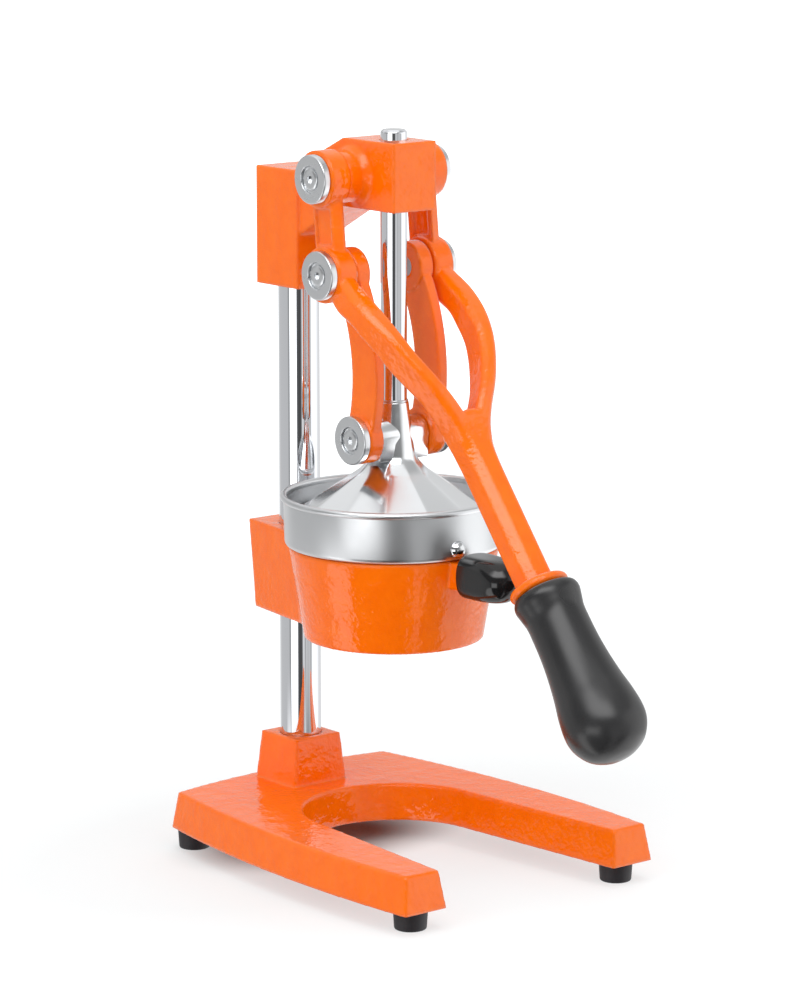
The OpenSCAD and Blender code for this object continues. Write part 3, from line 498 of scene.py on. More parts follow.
# Turned faces of the caps: a fine satin from the tool
SATIN = Metal("turned_satin_steel", "#d8dadc", 0.28, 0.25, haze=0.05)
# Chromed rims of the caps: bright, without marks
CAP_RIM = Metal("chromed_cap_rim", "#eceef0", 0.07)
# Stainless rivet, domed and polished
RIVET = Metal("polished_stainless_rivet", "#d4d6d8", 0.10)
# Zinc-plated steel of screws, bolt and washer: greyer, and uneven in its gloss
ZINC = Metal("zinc_plated_steel", "#a9adb2", 0.30, 0.6, 0.006, haze=0.08)
# Soft-touch rubber of the lever grip: satin, with a wide soft sheen
GRIP_RUBBER = Moulded("satin_black_rubber", "#262627", "#2c2c2d", 0.29, grain_mm=0.35, depth_mm=0.006, shine=0.45)
# Polished black plastic of the front grip
GRIP_PLASTIC = Moulded("glossy_black_plastic", "#161617", "#1a1a1b", 0.12, grain_mm=1.2, depth_mm=0.004)
# Matt rubber of the feet
FOOT_RUBBER = Moulded("matt_foot_rubber", "#211f22", "#2a272b", 0.55, grain_mm=0.6, depth_mm=0.02, shine=0.4)


class Slot(Enum):
    """The record's material slots."""

    ENAMEL = "enamel"
    FOOT_RUBBER = "foot_rubber"
    PLATED_STEEL = "plated_steel"
    CHROME_BAR = "chrome_bar"
    BLACK_PLASTIC = "black_plastic"
    STAINLESS_SHEET = "stainless_sheet"
    POLISHED_STAINLESS = "polished_stainless"
    POLISHED_ALUMINIUM = "polished_aluminium"
    SATIN_STEEL = "satin_steel"
    CAP_CHROME = "cap_chrome"
    BLACK_RUBBER = "black_rubber"


def dress(thing: Object, node: str, body: str, slot: Slot, *finishes: Finish) -> None:
    """Gives a piece its finishes and its body, and hides the frame node that it stands for.

    Args:
        thing: the piece.
        node: the frame node that it replaces.
        body: the body it rides on.
        slot: the record's material slot; not used.
        finishes: its finishes, in the order of its faces' material numbers.
    """
    thing.data.materials.clear()
    for finish in finishes:
        thing.data.materials.append(finish.material())
    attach(thing, body)
    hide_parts(node)
    LOG.info("%s on %s: %d faces", thing.name, body, len(thing.data.polygons))


# ---- Places that the frame gives


@dataclass(frozen=True)
class Pivot:
    """One pair of caps, in millimetres: where their axis lies, and how far out each cap's inner face is."""

    y: float
    z: float
    inner: float

    def axes(self, side: int) -> Axes:
        """Returns the axes of one cap, which point outwards: side is 1 for the right cap and -1 for the left."""
        return Axes((side * self.inner, self.y, self.z), (side, 0, 0), (0, 1, 0))


class Places:
    """Where the frame's pieces stand, in millimetres."""

    def __init__(self, frame: dict) -> None:
        """Reads the axes and pivots from the nodes' boxes.

        Args:
            frame: the loaded frame.
        """
        self.frame = frame
        self.axis_y = self.middle("press_rod")[1]
        self.axis = Axes((0, self.axis_y, 0))
        self.head_pivot = self.pivot("head_pivot_caps")
        self.lever_pivot = self.pivot("lever_pivot_caps")
        self.press_pivot = self.pivot("press_pivot_caps")

    def corners(self, node: str) -> tuple[np.ndarray, np.ndarray]:
        """Returns the lowest and highest corners of a node's box."""
        low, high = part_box(node)
        return np.array(low) / MM, np.array(high) / MM

    def middle(self, node: str) -> np.ndarray:
        """Returns the middle of a node's box."""
        low, high = self.corners(node)
        return (low + high) / 2

    def ends(self, node: str) -> tuple[float, float]:
        """Returns the lowest and highest points of a node."""
        low, high = self.corners(node)
        return low[2], high[2]

    def pivot(self, node: str) -> Pivot:
        """Returns the axis of a pair of caps."""
        mid = self.middle(node)
        return Pivot(mid[1], mid[2], self.corners(node)[1][0] - PivotCaps.thick)


# ---- Sub-assemblies


@dataclass
class Castings:
    """The enamelled castings: a fine skin over each solid, smoothed to the round edges of a sand casting."""

    grid_share: float = 0.95
    soften_share: float = 0.5
    # node, body, size of the skin's cells in mm, rounds of smoothing, finish
    parts: tuple[tuple[str, str, float, int, Enamel], ...] = (
        ("base_casting", "frame", 0.95, 4, ENAMEL),
        ("holder_casting", "frame", 0.85, 5, ENAMEL),
        ("head_casting", "frame", 0.75, 5, ENAMEL),
        ("lever_casting", "lever", 0.7, 3, ENAMEL),
        ("left_link", "link_left", 0.55, 5, ENAMEL_FINE),
        ("right_link", "link_right", 0.55, 5, ENAMEL_FINE),
    )

    def build(self, frame: dict) -> None:
        """Builds every casting: its skin's grid is the smallest that it fills to no more than the grid share.

        Args:
            frame: the loaded frame.
        """
        for node, body, cell, rounds, finish in self.parts:
            mesh = frame["nodes"][node].data.copy()
            mesh.materials.clear()
            weld(mesh, gap=2e-6, speck=1e-7)
            skin = shown(node + "_skin", mesh)
            remesh = skin.modifiers.new("skin", "REMESH")
            remesh.mode = "SHARP"
            cells = max(skin.dimensions) / (cell * MM)
            remesh.octree_depth = math.ceil(math.log2(cells / self.grid_share))
            remesh.scale = cells / 2**remesh.octree_depth
            remesh.use_remove_disconnected = False
            soften = skin.modifiers.new("cast_edges", "SMOOTH")
            soften.factor = self.soften_share
            soften.iterations = rounds
            apply_modifiers(skin)
            # Chrome and steel mirror every casting but the lever, which would hide their greys
            skin.visible_glossy = node != "lever_casting"
            dress(skin, node, body, Slot.ENAMEL, finish)


@dataclass
class Feet:
    """Four rubber feet, each a short plug with a rounded lower edge and a screw recess."""

    height: float = 10.5
    top_r: float = 8.7
    floor_r: float = 8.0
    recess_r: float = 5.0
    recess: float = 5.0
    hole_r: float = 2.15
    nodes: tuple[str, ...] = ("foot_front_left", "foot_front_right", "foot_rear_left", "foot_rear_right")

    def build(self, places: Places) -> None:
        """Builds the feet as closed turned rings.

        Args:
            places: where the frame's pieces stand.
        """
        profile = rounded([
            (self.hole_r, self.height, 0), (self.top_r, self.height, 0.4), (self.floor_r, 0, 1.0),
            (self.recess_r, 0, 0.5), (self.recess_r, self.recess, 0.3), (self.hole_r, self.recess, 0)])
        for node in self.nodes:
            mid = places.middle(node)
            grid = turned(profile, Axes((mid[0], mid[1], 0)), 64)
            dress(piece(node + "_moulding", [grid], ring=True), node, "frame", Slot.FOOT_RUBBER, FOOT_RUBBER)


@dataclass
class Bars:
    """The chromed post and the press rod, with the washer under the rod."""

    post_r: float = 10.7
    post_edge: float = 1.0
    rod_r: float = 6.7
    rod_edge: float = 1.2
    spigot_r: float = 4.5
    washer_r: float = 7.3

    def build(self, places: Places) -> None:
        """Builds both bars and the washer as turned surfaces.

        Args:
            places: where the frame's pieces stand.
        """
        low, high = places.ends("post")
        rows = [(0, low, 0), (self.post_r, low, 0.4), (self.post_r, high - self.post_edge, 0.3),
                (self.post_r - self.post_edge, high, 0.3), (0, high, 0)]
        grid = turned(rounded(rows), Axes((0, places.middle("post")[1], 0)), 160)
        dress(piece("post_bar", [grid]), "post", "frame", Slot.CHROME_BAR, CHROME_BAR)
        low, high = places.ends("press_rod")
        seat, foot = places.ends("rod_washer")
        rows = [(0, low, 0), (self.spigot_r, low, 0.3), (self.spigot_r, foot, 0), (self.rod_r, foot, 0.2),
                (self.rod_r, high - self.rod_edge, 0.4), (self.rod_r - self.rod_edge, high, 0.4), (0, high, 0)]
        grid = turned(rounded(rows), places.axis, 128)
        dress(piece("press_rod_bar", [grid]), "press_rod", "press", Slot.CHROME_BAR, CHROME_BAR)
        rows = [(self.spigot_r, seat, 0), (self.washer_r, seat, 0.25), (self.washer_r, foot, 0.25),
                (self.spigot_r, foot, 0)]
        grid = turned(rounded(rows), places.axis, 96)
        dress(piece("rod_washer_ring", [grid], ring=True), "rod_washer", "press", Slot.SATIN_STEEL, SATIN)


@dataclass
class PivotCaps:
    """Six round caps with a ring recess, each held by a button screw with a hexagon socket."""

    radius: float = 12.3
    thick: float = 3.8
    bore: float = 5.05
    recess_share: float = 0.56
    recess_deep: float = 1.71
    button_share: float = 0.44
    button_h: float = 1.54
    hex_share: float = 0.17
    hex_bevel: float = 0.15
    shank_r: float = 5.0
    flat_face: float = 0.97

    def cap(self, pivot: Pivot, side: int) -> np.ndarray:
        """One cap: a closed ring turned round the pivot's axis, with rounded rims.

        Args:
            pivot: the cap's pivot.
            side: 1 for the right cap and -1 for the left.

        Returns:
            The cap's grid of points.
        """
        lip, deep = self.radius * self.recess_share, self.thick - self.recess_deep
        rows = [(self.bore, 0, 0), (self.radius, 0, 0.5), (self.radius, self.thick, 0.9), (lip, self.thick, 0.5),
                (lip - 0.15, deep, 0.35), (self.bore, deep, 0)]
        return turned(rounded(rows, 6), pivot.axes(side), 112)

    def screw(self, pivot: Pivot, side: int, tip: float) -> np.ndarray:
        """One screw, drawn from the bottom of its socket outwards and back to its tip.

        A row of the socket is a hexagon: its radius at an angle is the flat's distance divided by the cosine
        of the angle from the flat's middle. The rows of the head and shank are circles.

        Args:
            pivot: the screw's pivot.
            side: 1 for the right screw and -1 for the left.
            tip: height of the screw's tip from its cap's inner face, in millimetres.

        Returns:
            The screw's grid of points.
        """
        seat = self.thick - self.recess_deep
        hexagon, button = self.radius * self.hex_share, self.radius * self.button_share
        angle = full_turn(96)
        six = math.cos(math.pi / 6) / np.cos((angle % (math.pi / 3)) - math.pi / 6)
        floor, face = seat + self.hex_bevel, seat + self.button_h
        # radius, height, whether the row is a hexagon
        table = np.array([
            (0.0, floor, 1), (hexagon * 0.98, floor, 1), (hexagon, face - self.hex_bevel, 1),
            (hexagon * 1.12, face, 1), (button * 0.72, face - 0.02, 0), (button * 0.9, face - 0.2, 0),
            (button * 0.985, face - 0.5, 0), (button, face - 0.85, 0), (button, seat, 0),
            (self.shank_r, seat, 0), (self.shank_r, tip, 0), (0.0, tip, 0)])
        radius = table[:, :1] * np.where(table[:, 2:] > 0, six, 1.0)
        return pivot.axes(side).sweep(radius, angle, table[:, 1:2])

    def build(self, places: Places) -> None:
        """Builds the three pairs of caps and their screws.

        Args:
            places: where the frame's pieces stand.
        """
        sets = (("head", places.head_pivot, "frame"), ("lever", places.lever_pivot, "lever"),
                ("press", places.press_pivot, "press"))
        for name, pivot, body in sets:
            grids = [self.cap(pivot, side) for side in (-1, 1)]
            caps = piece(f"{name}_pivot_cap_pair", grids, ring=True, sharp=50)
            self.number_rims(caps)
            dress(caps, f"{name}_pivot_caps", body, Slot.CAP_CHROME, SATIN, CAP_RIM)
            tip = self.tip(name, pivot, places)
            grids = [self.screw(pivot, side, tip) for side in (-1, 1)]
            screws = piece(f"{name}_pivot_screw_pair", grids, sharp=30)
            dress(screws, f"{name}_pivot_screws", body, Slot.SATIN_STEEL, SATIN)

    def tip(self, name: str, pivot: Pivot, places: Places) -> float:
        """Height of a screw's tip from its cap's inner face, read from the frame's screws."""
        co = np.array([v.co for v in places.frame["nodes"][f"{name}_pivot_screws"].data.vertices]) / MM
        return float(co[co[:, 0] > 0][:, 0].min()) - pivot.inner

    def number_rims(self, caps: Object) -> None:
        """Gives the second material to every face that doesn't look along the pivot's axis.

        Args:
            caps: the pair of caps.
        """
        mesh = caps.data
        normal = np.empty(len(mesh.polygons) * 3)
        mesh.polygons.foreach_get("normal", normal)
        flat = np.abs(normal.reshape(-1, 3)[:, 0]) > self.flat_face
        mesh.polygons.foreach_set("material_index", np.where(flat, 0, 1).astype(np.int32))


@dataclass
class StrainerCup:
    """The stainless cup with its rolled bead, its rivet and the reamer that stands in it."""

    sheet: float = 1.2
    bead_r: float = 1.7
    rim_r: float = 57.6
    band_r: float = 55.4
    shoulder: float = 2.6
    neck_r: float = 49.0
    low_r: float = 46.27
    band_h: float = 26.5
    ledge_lift: float = 0.3
    eye_share: float = 0.6
    holes: int = 24
    hole_r: float = 1.8
    drill_reach: float = 3.0
    turn: float = -4.0
    rivet_r: float = 4.4
    rivet_dome: float = 3.0
    rivet_wall: float = 55.58
    # radius and depth of the rows under the rivet's dome: its seat, its shank and its upset tail
    rivet_back: Rows = ((4.4, 0.25), (1.8, 0.25), (1.8, 1.6), (2.9, 2.7), (0, 2.7))
    flange_r: float = 34.0
    flange_t: float = 1.6
    flange_edge: float = 0.3
    reamer_h: float = 42.0
    dome_share: float = 0.94
    ribs: int = 8
    rib_share: float = 0.14
    # height and radius of the reamer's dome, as shares of the whole
    ridge: Rows = (
        (0, 0.93), (0.12, 0.9), (0.3, 0.84), (0.5, 0.72), (0.68, 0.56), (0.83, 0.37), (0.94, 0.18), (1, 0))

    def build(self, places: Places) -> None:
        """Builds the cup, the rivet and the reamer.

        Args:
            places: where the frame's pieces stand.
        """
        low, rim = places.ends("strainer_cup")
        floor = low + self.sheet
        ledge = rim - self.band_h + self.ledge_lift
        bead = rim - self.bead_r
        wall_r = self.rim_r - self.bead_r
        eye = self.eye_share * self.flange_r
        middle = [(eye, floor - self.sheet / 2, 0)]
        outer = [(eye, floor - self.sheet, 0.3), (self.low_r, floor - self.sheet, 2.0), (self.neck_r, ledge, 1.5),
                 (self.band_r, ledge, self.shoulder), (wall_r, bead - self.bead_r * 0.9, 0.5)]
        angle = np.radians(np.linspace(-100, 190, 22))
        curl = [(wall_r + self.bead_r * math.cos(a), bead + self.bead_r * math.sin(a), 0) for a in angle]
        inner = [(wall_r - self.sheet, bead - self.bead_r, 0.4),
                 (self.band_r - self.sheet, ledge + self.sheet, self.shoulder * 0.6),
                 (self.neck_r - self.sheet, ledge + self.sheet, 1.2),
                 (self.low_r - self.sheet, floor, 2.0), (eye, floor, 0.3)]
        profile = rounded(middle + outer + curl + inner + middle)
        grid = turned(profile[:-1], places.axis, 240)
        cup = piece("strainer_cup_sheet", [grid], ring=True, sharp=40)
        self.drill(cup, places, floor)
        cup.data.set_sharp_from_angle(angle=math.radians(40))
        dress(cup, "strainer_cup", "cup", Slot.STAINLESS_SHEET, SHEET)
        self.rivet(places)
        self.reamer(places, floor)

    def drill(self, cup: Object, places: Places, floor: float) -> None:
        """Drills the ring of strainer holes through the cup's floor.

        Args:
            cup: the cup.
            places: where the frame's pieces stand.
            floor: height of the floor's upper face, in millimetres.
        """
        ring_r = (self.low_r + self.flange_r) / 2
        reach = self.drill_reach
        rows = np.array([[0, -reach], [self.hole_r, -reach], [self.hole_r, reach], [0, reach]])
        grids = []
        for k in range(self.holes):
            at = math.radians(self.turn + k * 360 / self.holes)
            spot = (ring_r * math.cos(at), places.axis_y + ring_r * math.sin(at), floor)
            grids.append(turned(rows, Axes(spot), 16))
        drill = piece("strainer_drill", grids)
        cut = cup.modifiers.new("strainer_holes", "BOOLEAN")
        cut.object = drill
        cut.operation = "DIFFERENCE"
        cut.solver = "EXACT"
        apply_modifiers(cup)
        bpy.data.objects.remove(drill)

    def rivet(self, places: Places) -> None:
        """Builds the rivet: a dome that is part of a ball, with its shank and upset tail.

        Args:
            places: where the frame's pieces stand.
        """
        turn = math.radians(self.turn)
        out = (math.sin(turn), -math.cos(turn), 0.0)
        ball = (self.rivet_r**2 + self.rivet_dome**2) / (2 * self.rivet_dome)
        arc = np.linspace(0, math.asin(min(1.0, self.rivet_r / ball)), 14)
        rows = [(ball * math.sin(a), self.rivet_dome - ball + ball * math.cos(a), 0) for a in arc]
        rows += [(radius, -depth, 0) for radius, depth in self.rivet_back]
        height = float(places.middle("cup_rivet")[2])
        origin = (out[0] * self.rivet_wall, places.axis_y + out[1] * self.rivet_wall, height)
        grid = turned(rounded(rows), Axes(origin, out, (0, 0, 1)), 64)
        dress(piece("cup_rivet_head", [grid], sharp=45), "cup_rivet", "cup", Slot.POLISHED_STAINLESS, RIVET)

    def reamer(self, places: Places, floor: float) -> None:
        """Builds the reamer: a flange, and a dome whose radius swells into round ribs.

        At an angle the radius is the dome's radius, less the ribs' share of it times how far a rounded wave
        that peaks on each rib stays below its peak.

        Args:
            places: where the frame's pieces stand.
            floor: height of the flange's foot, in millimetres.
        """
        rows = blend_rows(np.array(self.ridge), 4)
        turn = math.radians(self.turn)
        angle = full_turn(320) + turn
        wave = (0.5 + 0.5 * np.cos(self.ribs * (angle - turn - math.pi / self.ribs))) ** 3
        dome_r, dome_h = self.flange_r * self.dome_share, self.reamer_h - self.flange_t
        radius = np.maximum(rows[:, 1:], 0) * dome_r * (1 - self.rib_share + self.rib_share * wave)
        flange = np.array([[0, 0], [self.flange_r, 0], [self.flange_r, self.flange_t - self.flange_edge],
                           [self.flange_r - self.flange_edge, self.flange_t]])
        radius = np.vstack([np.repeat(flange[:, :1], len(angle), axis=1), radius])
        height = np.vstack([flange[:, 1:], rows[:, :1] * dome_h + self.flange_t]) + floor
        grid = places.axis.sweep(radius, angle, height)
        dress(piece("reamer_cone_turned", [grid], sharp=50), "reamer_cone", "cup", Slot.POLISHED_ALUMINIUM, BELL)


@dataclass
class PressBell:
    """The polished bell: twelve flats that flare from a fluted neck, and two lugs for the links."""

    flats: int = 12
    bell_r: float = 51.5
    wall: float = 2.6
    cone_top_r: float = 17.2
    cone_top_drop: float = 17.1
    skirt_h: float = 10.2
    neck_r: float = 7.8
    neck_rise: float = 17.2
    bore_r: float = 4.55
    bore_foot_r: float = 4.6
    bore_h: float = 6.0
    lip: float = 0.3
    ridge_cut: float = 0.315
    ridge_power: float = 160.0
    lug_half_w: float = 15.9
    lug_r: float = 9.2
    lug_foot: float = 0.925
    # radius and height of the cone's rows, as shares of the cone top's radius and drop
    flare: Rows = ((1, -1), (0.675, -0.64), (0.593, 0), (0.517, 0.5))

    def flat_radius(self, radius: np.ndarray, angle: np.ndarray) -> np.ndarray:
        """Radius of a polygon with softened ridges.

        The flat's distance from the axis divided by the cosine of the angle from its middle gives the flat,
        and a circle a little inside the corners cuts the ridges off in a smooth minimum of the two.

        Args:
            radius: distance of each row's corners from the axis, in millimetres.
            angle: the angles round the axis.

        Returns:
            The radius at each row and angle.
        """
        half = math.pi / self.flats
        flat = radius * math.cos(half) / np.cos(((angle - half) % (2 * half)) - half)
        ridge = radius - self.ridge_cut
        return (flat**-self.ridge_power + ridge**-self.ridge_power) ** (-1 / self.ridge_power)

    def build(self, places: Places) -> None:
        """Builds the bell's shell and its lugs.

        Args:
            places: where the frame's pieces stand.
        """
        low = places.ends("press_bell")[0]
        pivot = places.press_pivot
        top = pivot.z + self.neck_rise
        rows = [(self.bell_r - self.wall, low, 0), (self.bell_r, low, 0.5), (self.bell_r, low + self.skirt_h, 1.6)]
        rows += [(out * self.cone_top_r, pivot.z + up * self.cone_top_drop, 3.0) for out, up in self.flare]
        rows += [(self.neck_r, top, 0.4), (self.bore_r, top, 0)]
        outside = rounded(rows, 7)
        inner_r = self.bell_r * math.cos(math.pi / self.flats) - self.wall
        roof = pivot.z - self.cone_top_drop - self.wall
        inside = np.array([
            [self.bore_r, roof + self.bore_h], [self.bore_foot_r, roof], [self.cone_top_r - self.wall, roof],
            [inner_r, low + self.skirt_h - self.wall / 2], [inner_r, low + self.lip]])
        angle = full_turn(480)
        radius = outside[:, :1]
        radius = np.where(radius > self.bore_r, self.flat_radius(radius, angle), radius)
        radius = np.vstack([radius, np.repeat(inside[:, :1], len(angle), axis=1)])
        height = np.vstack([outside[:, 1:], inside[:, 1:]])
        shell = places.axis.sweep(radius, angle, height)
        bell = piece("press_bell_shell", [shell], ring=True, sharp=40)
        cheeks = piece("press_bell_lugs", [self.lug(pivot, side) for side in (-1, 1)], sharp=40)
        for thing in (bell, cheeks):
            dress(thing, "press_bell", "press", Slot.POLISHED_ALUMINIUM, BELL)

    def lug(self, pivot: Pivot, side: int) -> np.ndarray:
        """One lug: a round-topped outline carried outwards from the neck, with its outer edge rounded.

        The outline is half a circle above the pivot and a straight-sided, square foot below it, and each
        row of the surface is the outline drawn in by the row's own share.

        Args:
            pivot: the lug's pivot.
            side: 1 for the right lug and -1 for the left.

        Returns:
            The lug's grid of points.
        """
        turn = np.linspace(0, math.pi, 40)
        foot = self.lug_r * self.lug_foot
        across = np.concatenate([self.lug_r * np.cos(turn), [-foot, -foot, -foot * 0.98, foot * 0.98, foot, foot]])
        up = np.concatenate([self.lug_r * np.sin(turn), [-3.0, -11.0, -11.4, -11.4, -11.0, -3.0]])
        # distance from the bell's middle, share of the outline
        rows = np.array([(0.0, 0.02), (0.0, 1.0), (self.lug_half_w - 1.0, 1.0), (self.lug_half_w - 0.3, 0.97),
                         (self.lug_half_w, 0.9), (self.lug_half_w, 0.02)])
        reach, share = rows[:, :1], rows[:, 1:]
        axes = Axes((0, pivot.y, pivot.z), (side, 0, 0), (0, 1, 0))
        return axes.lay(share * across, share * up * side, reach)


@dataclass
class Grips:
    """The pear-shaped lever grip and the flattened front grip."""

    lever_len: float = 92.5
    lever_r: float = 20.6
    slope: float = 51.8933
    lever_origin: tuple[float, float] = (-115.591, 162.097)
    # place along the grip and radius, as shares of its length and of its largest radius
    lever_shares: Rows = (
        (0, 0.65), (0.014, 0.775), (0.05, 0.825), (0.1, 0.785), (0.155, 0.735), (0.22, 0.73), (0.32, 0.74),
        (0.41, 0.768), (0.5, 0.815), (0.585, 0.875), (0.67, 0.95), (0.76, 1), (0.83, 0.985), (0.89, 0.885),
        (0.945, 0.7), (0.982, 0.43), (0.996, 0.2), (1, 0))
    front_len: float = 32.0
    front_r: float = 13.0
    front_flat: float = 10.8
    front_power: float = 22.0
    tip_r: float = 1e-4
    front_shares: Rows = (
        (0, 0.88), (0.03, 0.96), (0.1, 1), (0.26, 1), (0.42, 0.985), (0.56, 0.95), (0.7, 0.87), (0.85, 0.71),
        (0.94, 0.48), (0.985, 0.24), (1, 0))

    def build(self, places: Places) -> None:
        """Builds both grips."""
        self.lever(places)
        self.front(places)

    def lever(self, places: Places) -> None:
        """Turns the lever grip's smooth profile round the shaft's line.

        Args:
            places: where the frame's pieces stand.
        """
        table = blend_rows(np.array(self.lever_shares), 6)
        profile = np.stack([np.maximum(table[:, 1], 0) * self.lever_r, table[:, 0] * self.lever_len], axis=1)
        profile = np.vstack([[[0, 0]], profile])
        slope = math.radians(self.slope)
        origin = (0, places.axis_y + self.lever_origin[0], self.lever_origin[1])
        grid = turned(profile, Axes(origin, (0, -math.cos(slope), -math.sin(slope)), (1, 0, 0)), 128)
        grip = piece("lever_grip_moulding", [grid], sharp=60)
        dress(grip, "lever_grip", "lever", Slot.BLACK_RUBBER, GRIP_RUBBER)

    def front(self, places: Places) -> None:
        """Builds the front grip: a turned profile whose four sides are pressed flat.

        At an angle the radius is a smooth minimum of the turned radius and the distance to a square with
        the grip's half thickness.

        Args:
            places: where the frame's pieces stand.
        """
        low, high = places.corners("front_grip")
        table = blend_rows(np.array(self.front_shares), 6)
        radius = np.maximum(table[:, 1:2], self.tip_r) * self.front_r
        angle = full_turn(144)
        square = self.front_flat / np.maximum(np.abs(np.cos(angle)), np.abs(np.sin(angle)))
        shape = (radius**-self.front_power + square**-self.front_power) ** (-1 / self.front_power)
        shape = np.vstack([np.full((1, len(angle)), self.tip_r), shape])
        height = np.vstack([[[0]], table[:, :1] * self.front_len])
        axes = Axes((0, float(high[1]), float(low[2] + high[2]) / 2), (0, -1, 0), (1, 0, 0))
        grid = axes.sweep(shape, angle, height)
        # The first and last rows close the piece in one point each
        grid[0] = grid[0].mean(axis=0)
        grid[-1] = grid[-1].mean(axis=0)
        grip = piece("front_grip_moulding", [grid], sharp=60)
        dress(grip, "front_grip", "frame", Slot.BLACK_PLASTIC, GRIP_PLASTIC)


@dataclass
class PlainNodes:
    """Frame nodes whose own shape is right and that only need their finish."""

    finish: Finish = ZINC
    nodes: tuple[str, ...] = (
        "foot_screws", "post_washer", "post_bolt", "holder_set_screw", "head_set_screw", "left_link_stud",
        "right_link_stud")

    def build(self, frame: dict) -> None:
        """Gives each node its finish.

        Args:
            frame: the loaded frame.
        """
        for node in self.nodes:
            mesh = frame["nodes"][node].data
            mesh.materials.clear()
            mesh.materials.append(self.finish.material())
            LOG.info("%s keeps its frame shape", node)


# ---- Studio and camera


# What mirror-like pieces see round the compass in four bands of height: (degrees from the camera's side, grey)
# In upright sides: lamps at the left, right and rear, and the dark camera side between them
UPRIGHT = (
    (-180, 0.9), (-154, 0.9), (-130, 0.62), (-66, 0.6), (-60, 0.37), (-54, 0.37), (-50, 2.4), (-15, 2.4), (-11, 0.12),
    (-2, 0.09), (9, 0.07), (14, 0.33), (19, 0.94), (23, 0.94), (26, 0.48), (32, 0.48), (37, 0.74), (41, 0.74),
    (44, 0.46), (48, 0.66), (58, 0.66), (63, 0.44), (68, 0.7), (74, 1.4), (112, 1.35), (122, 0.98), (154, 0.78),
    (180, 0.9))
# In level and drafted faces
LEVEL = (
    (-180, 0.7), (-130, 0.6), (-112, 0.3), (-108, 0.8), (-92, 0.8), (-88, 0.2), (0, 0.2), (40, 0.3), (66, 1.3),
    (110, 1.4), (120, 1.0), (150, 0.8), (170, 0.7), (180, 0.7))
# In faces that slope towards the camera
SLOPING = ((-180, 1.2), (-120, 0.8), (-64, 0.9), (-46, 4.5), (18, 4.5), (40, 0.6), (110, 0.5), (180, 1.2))
# In sides that lean outwards at the top
LEANING = (
    (-180, 1.0), (-120, 0.9), (-86, 0.5), (-80, 2.0), (-56, 2.0), (-52, 0.05), (12, 0.02), (22, 0.04), (25, 1.0),
    (32, 1.0), (35, 0.05), (62, 0.2), (68, 1.5), (110, 1.7), (180, 1.3))


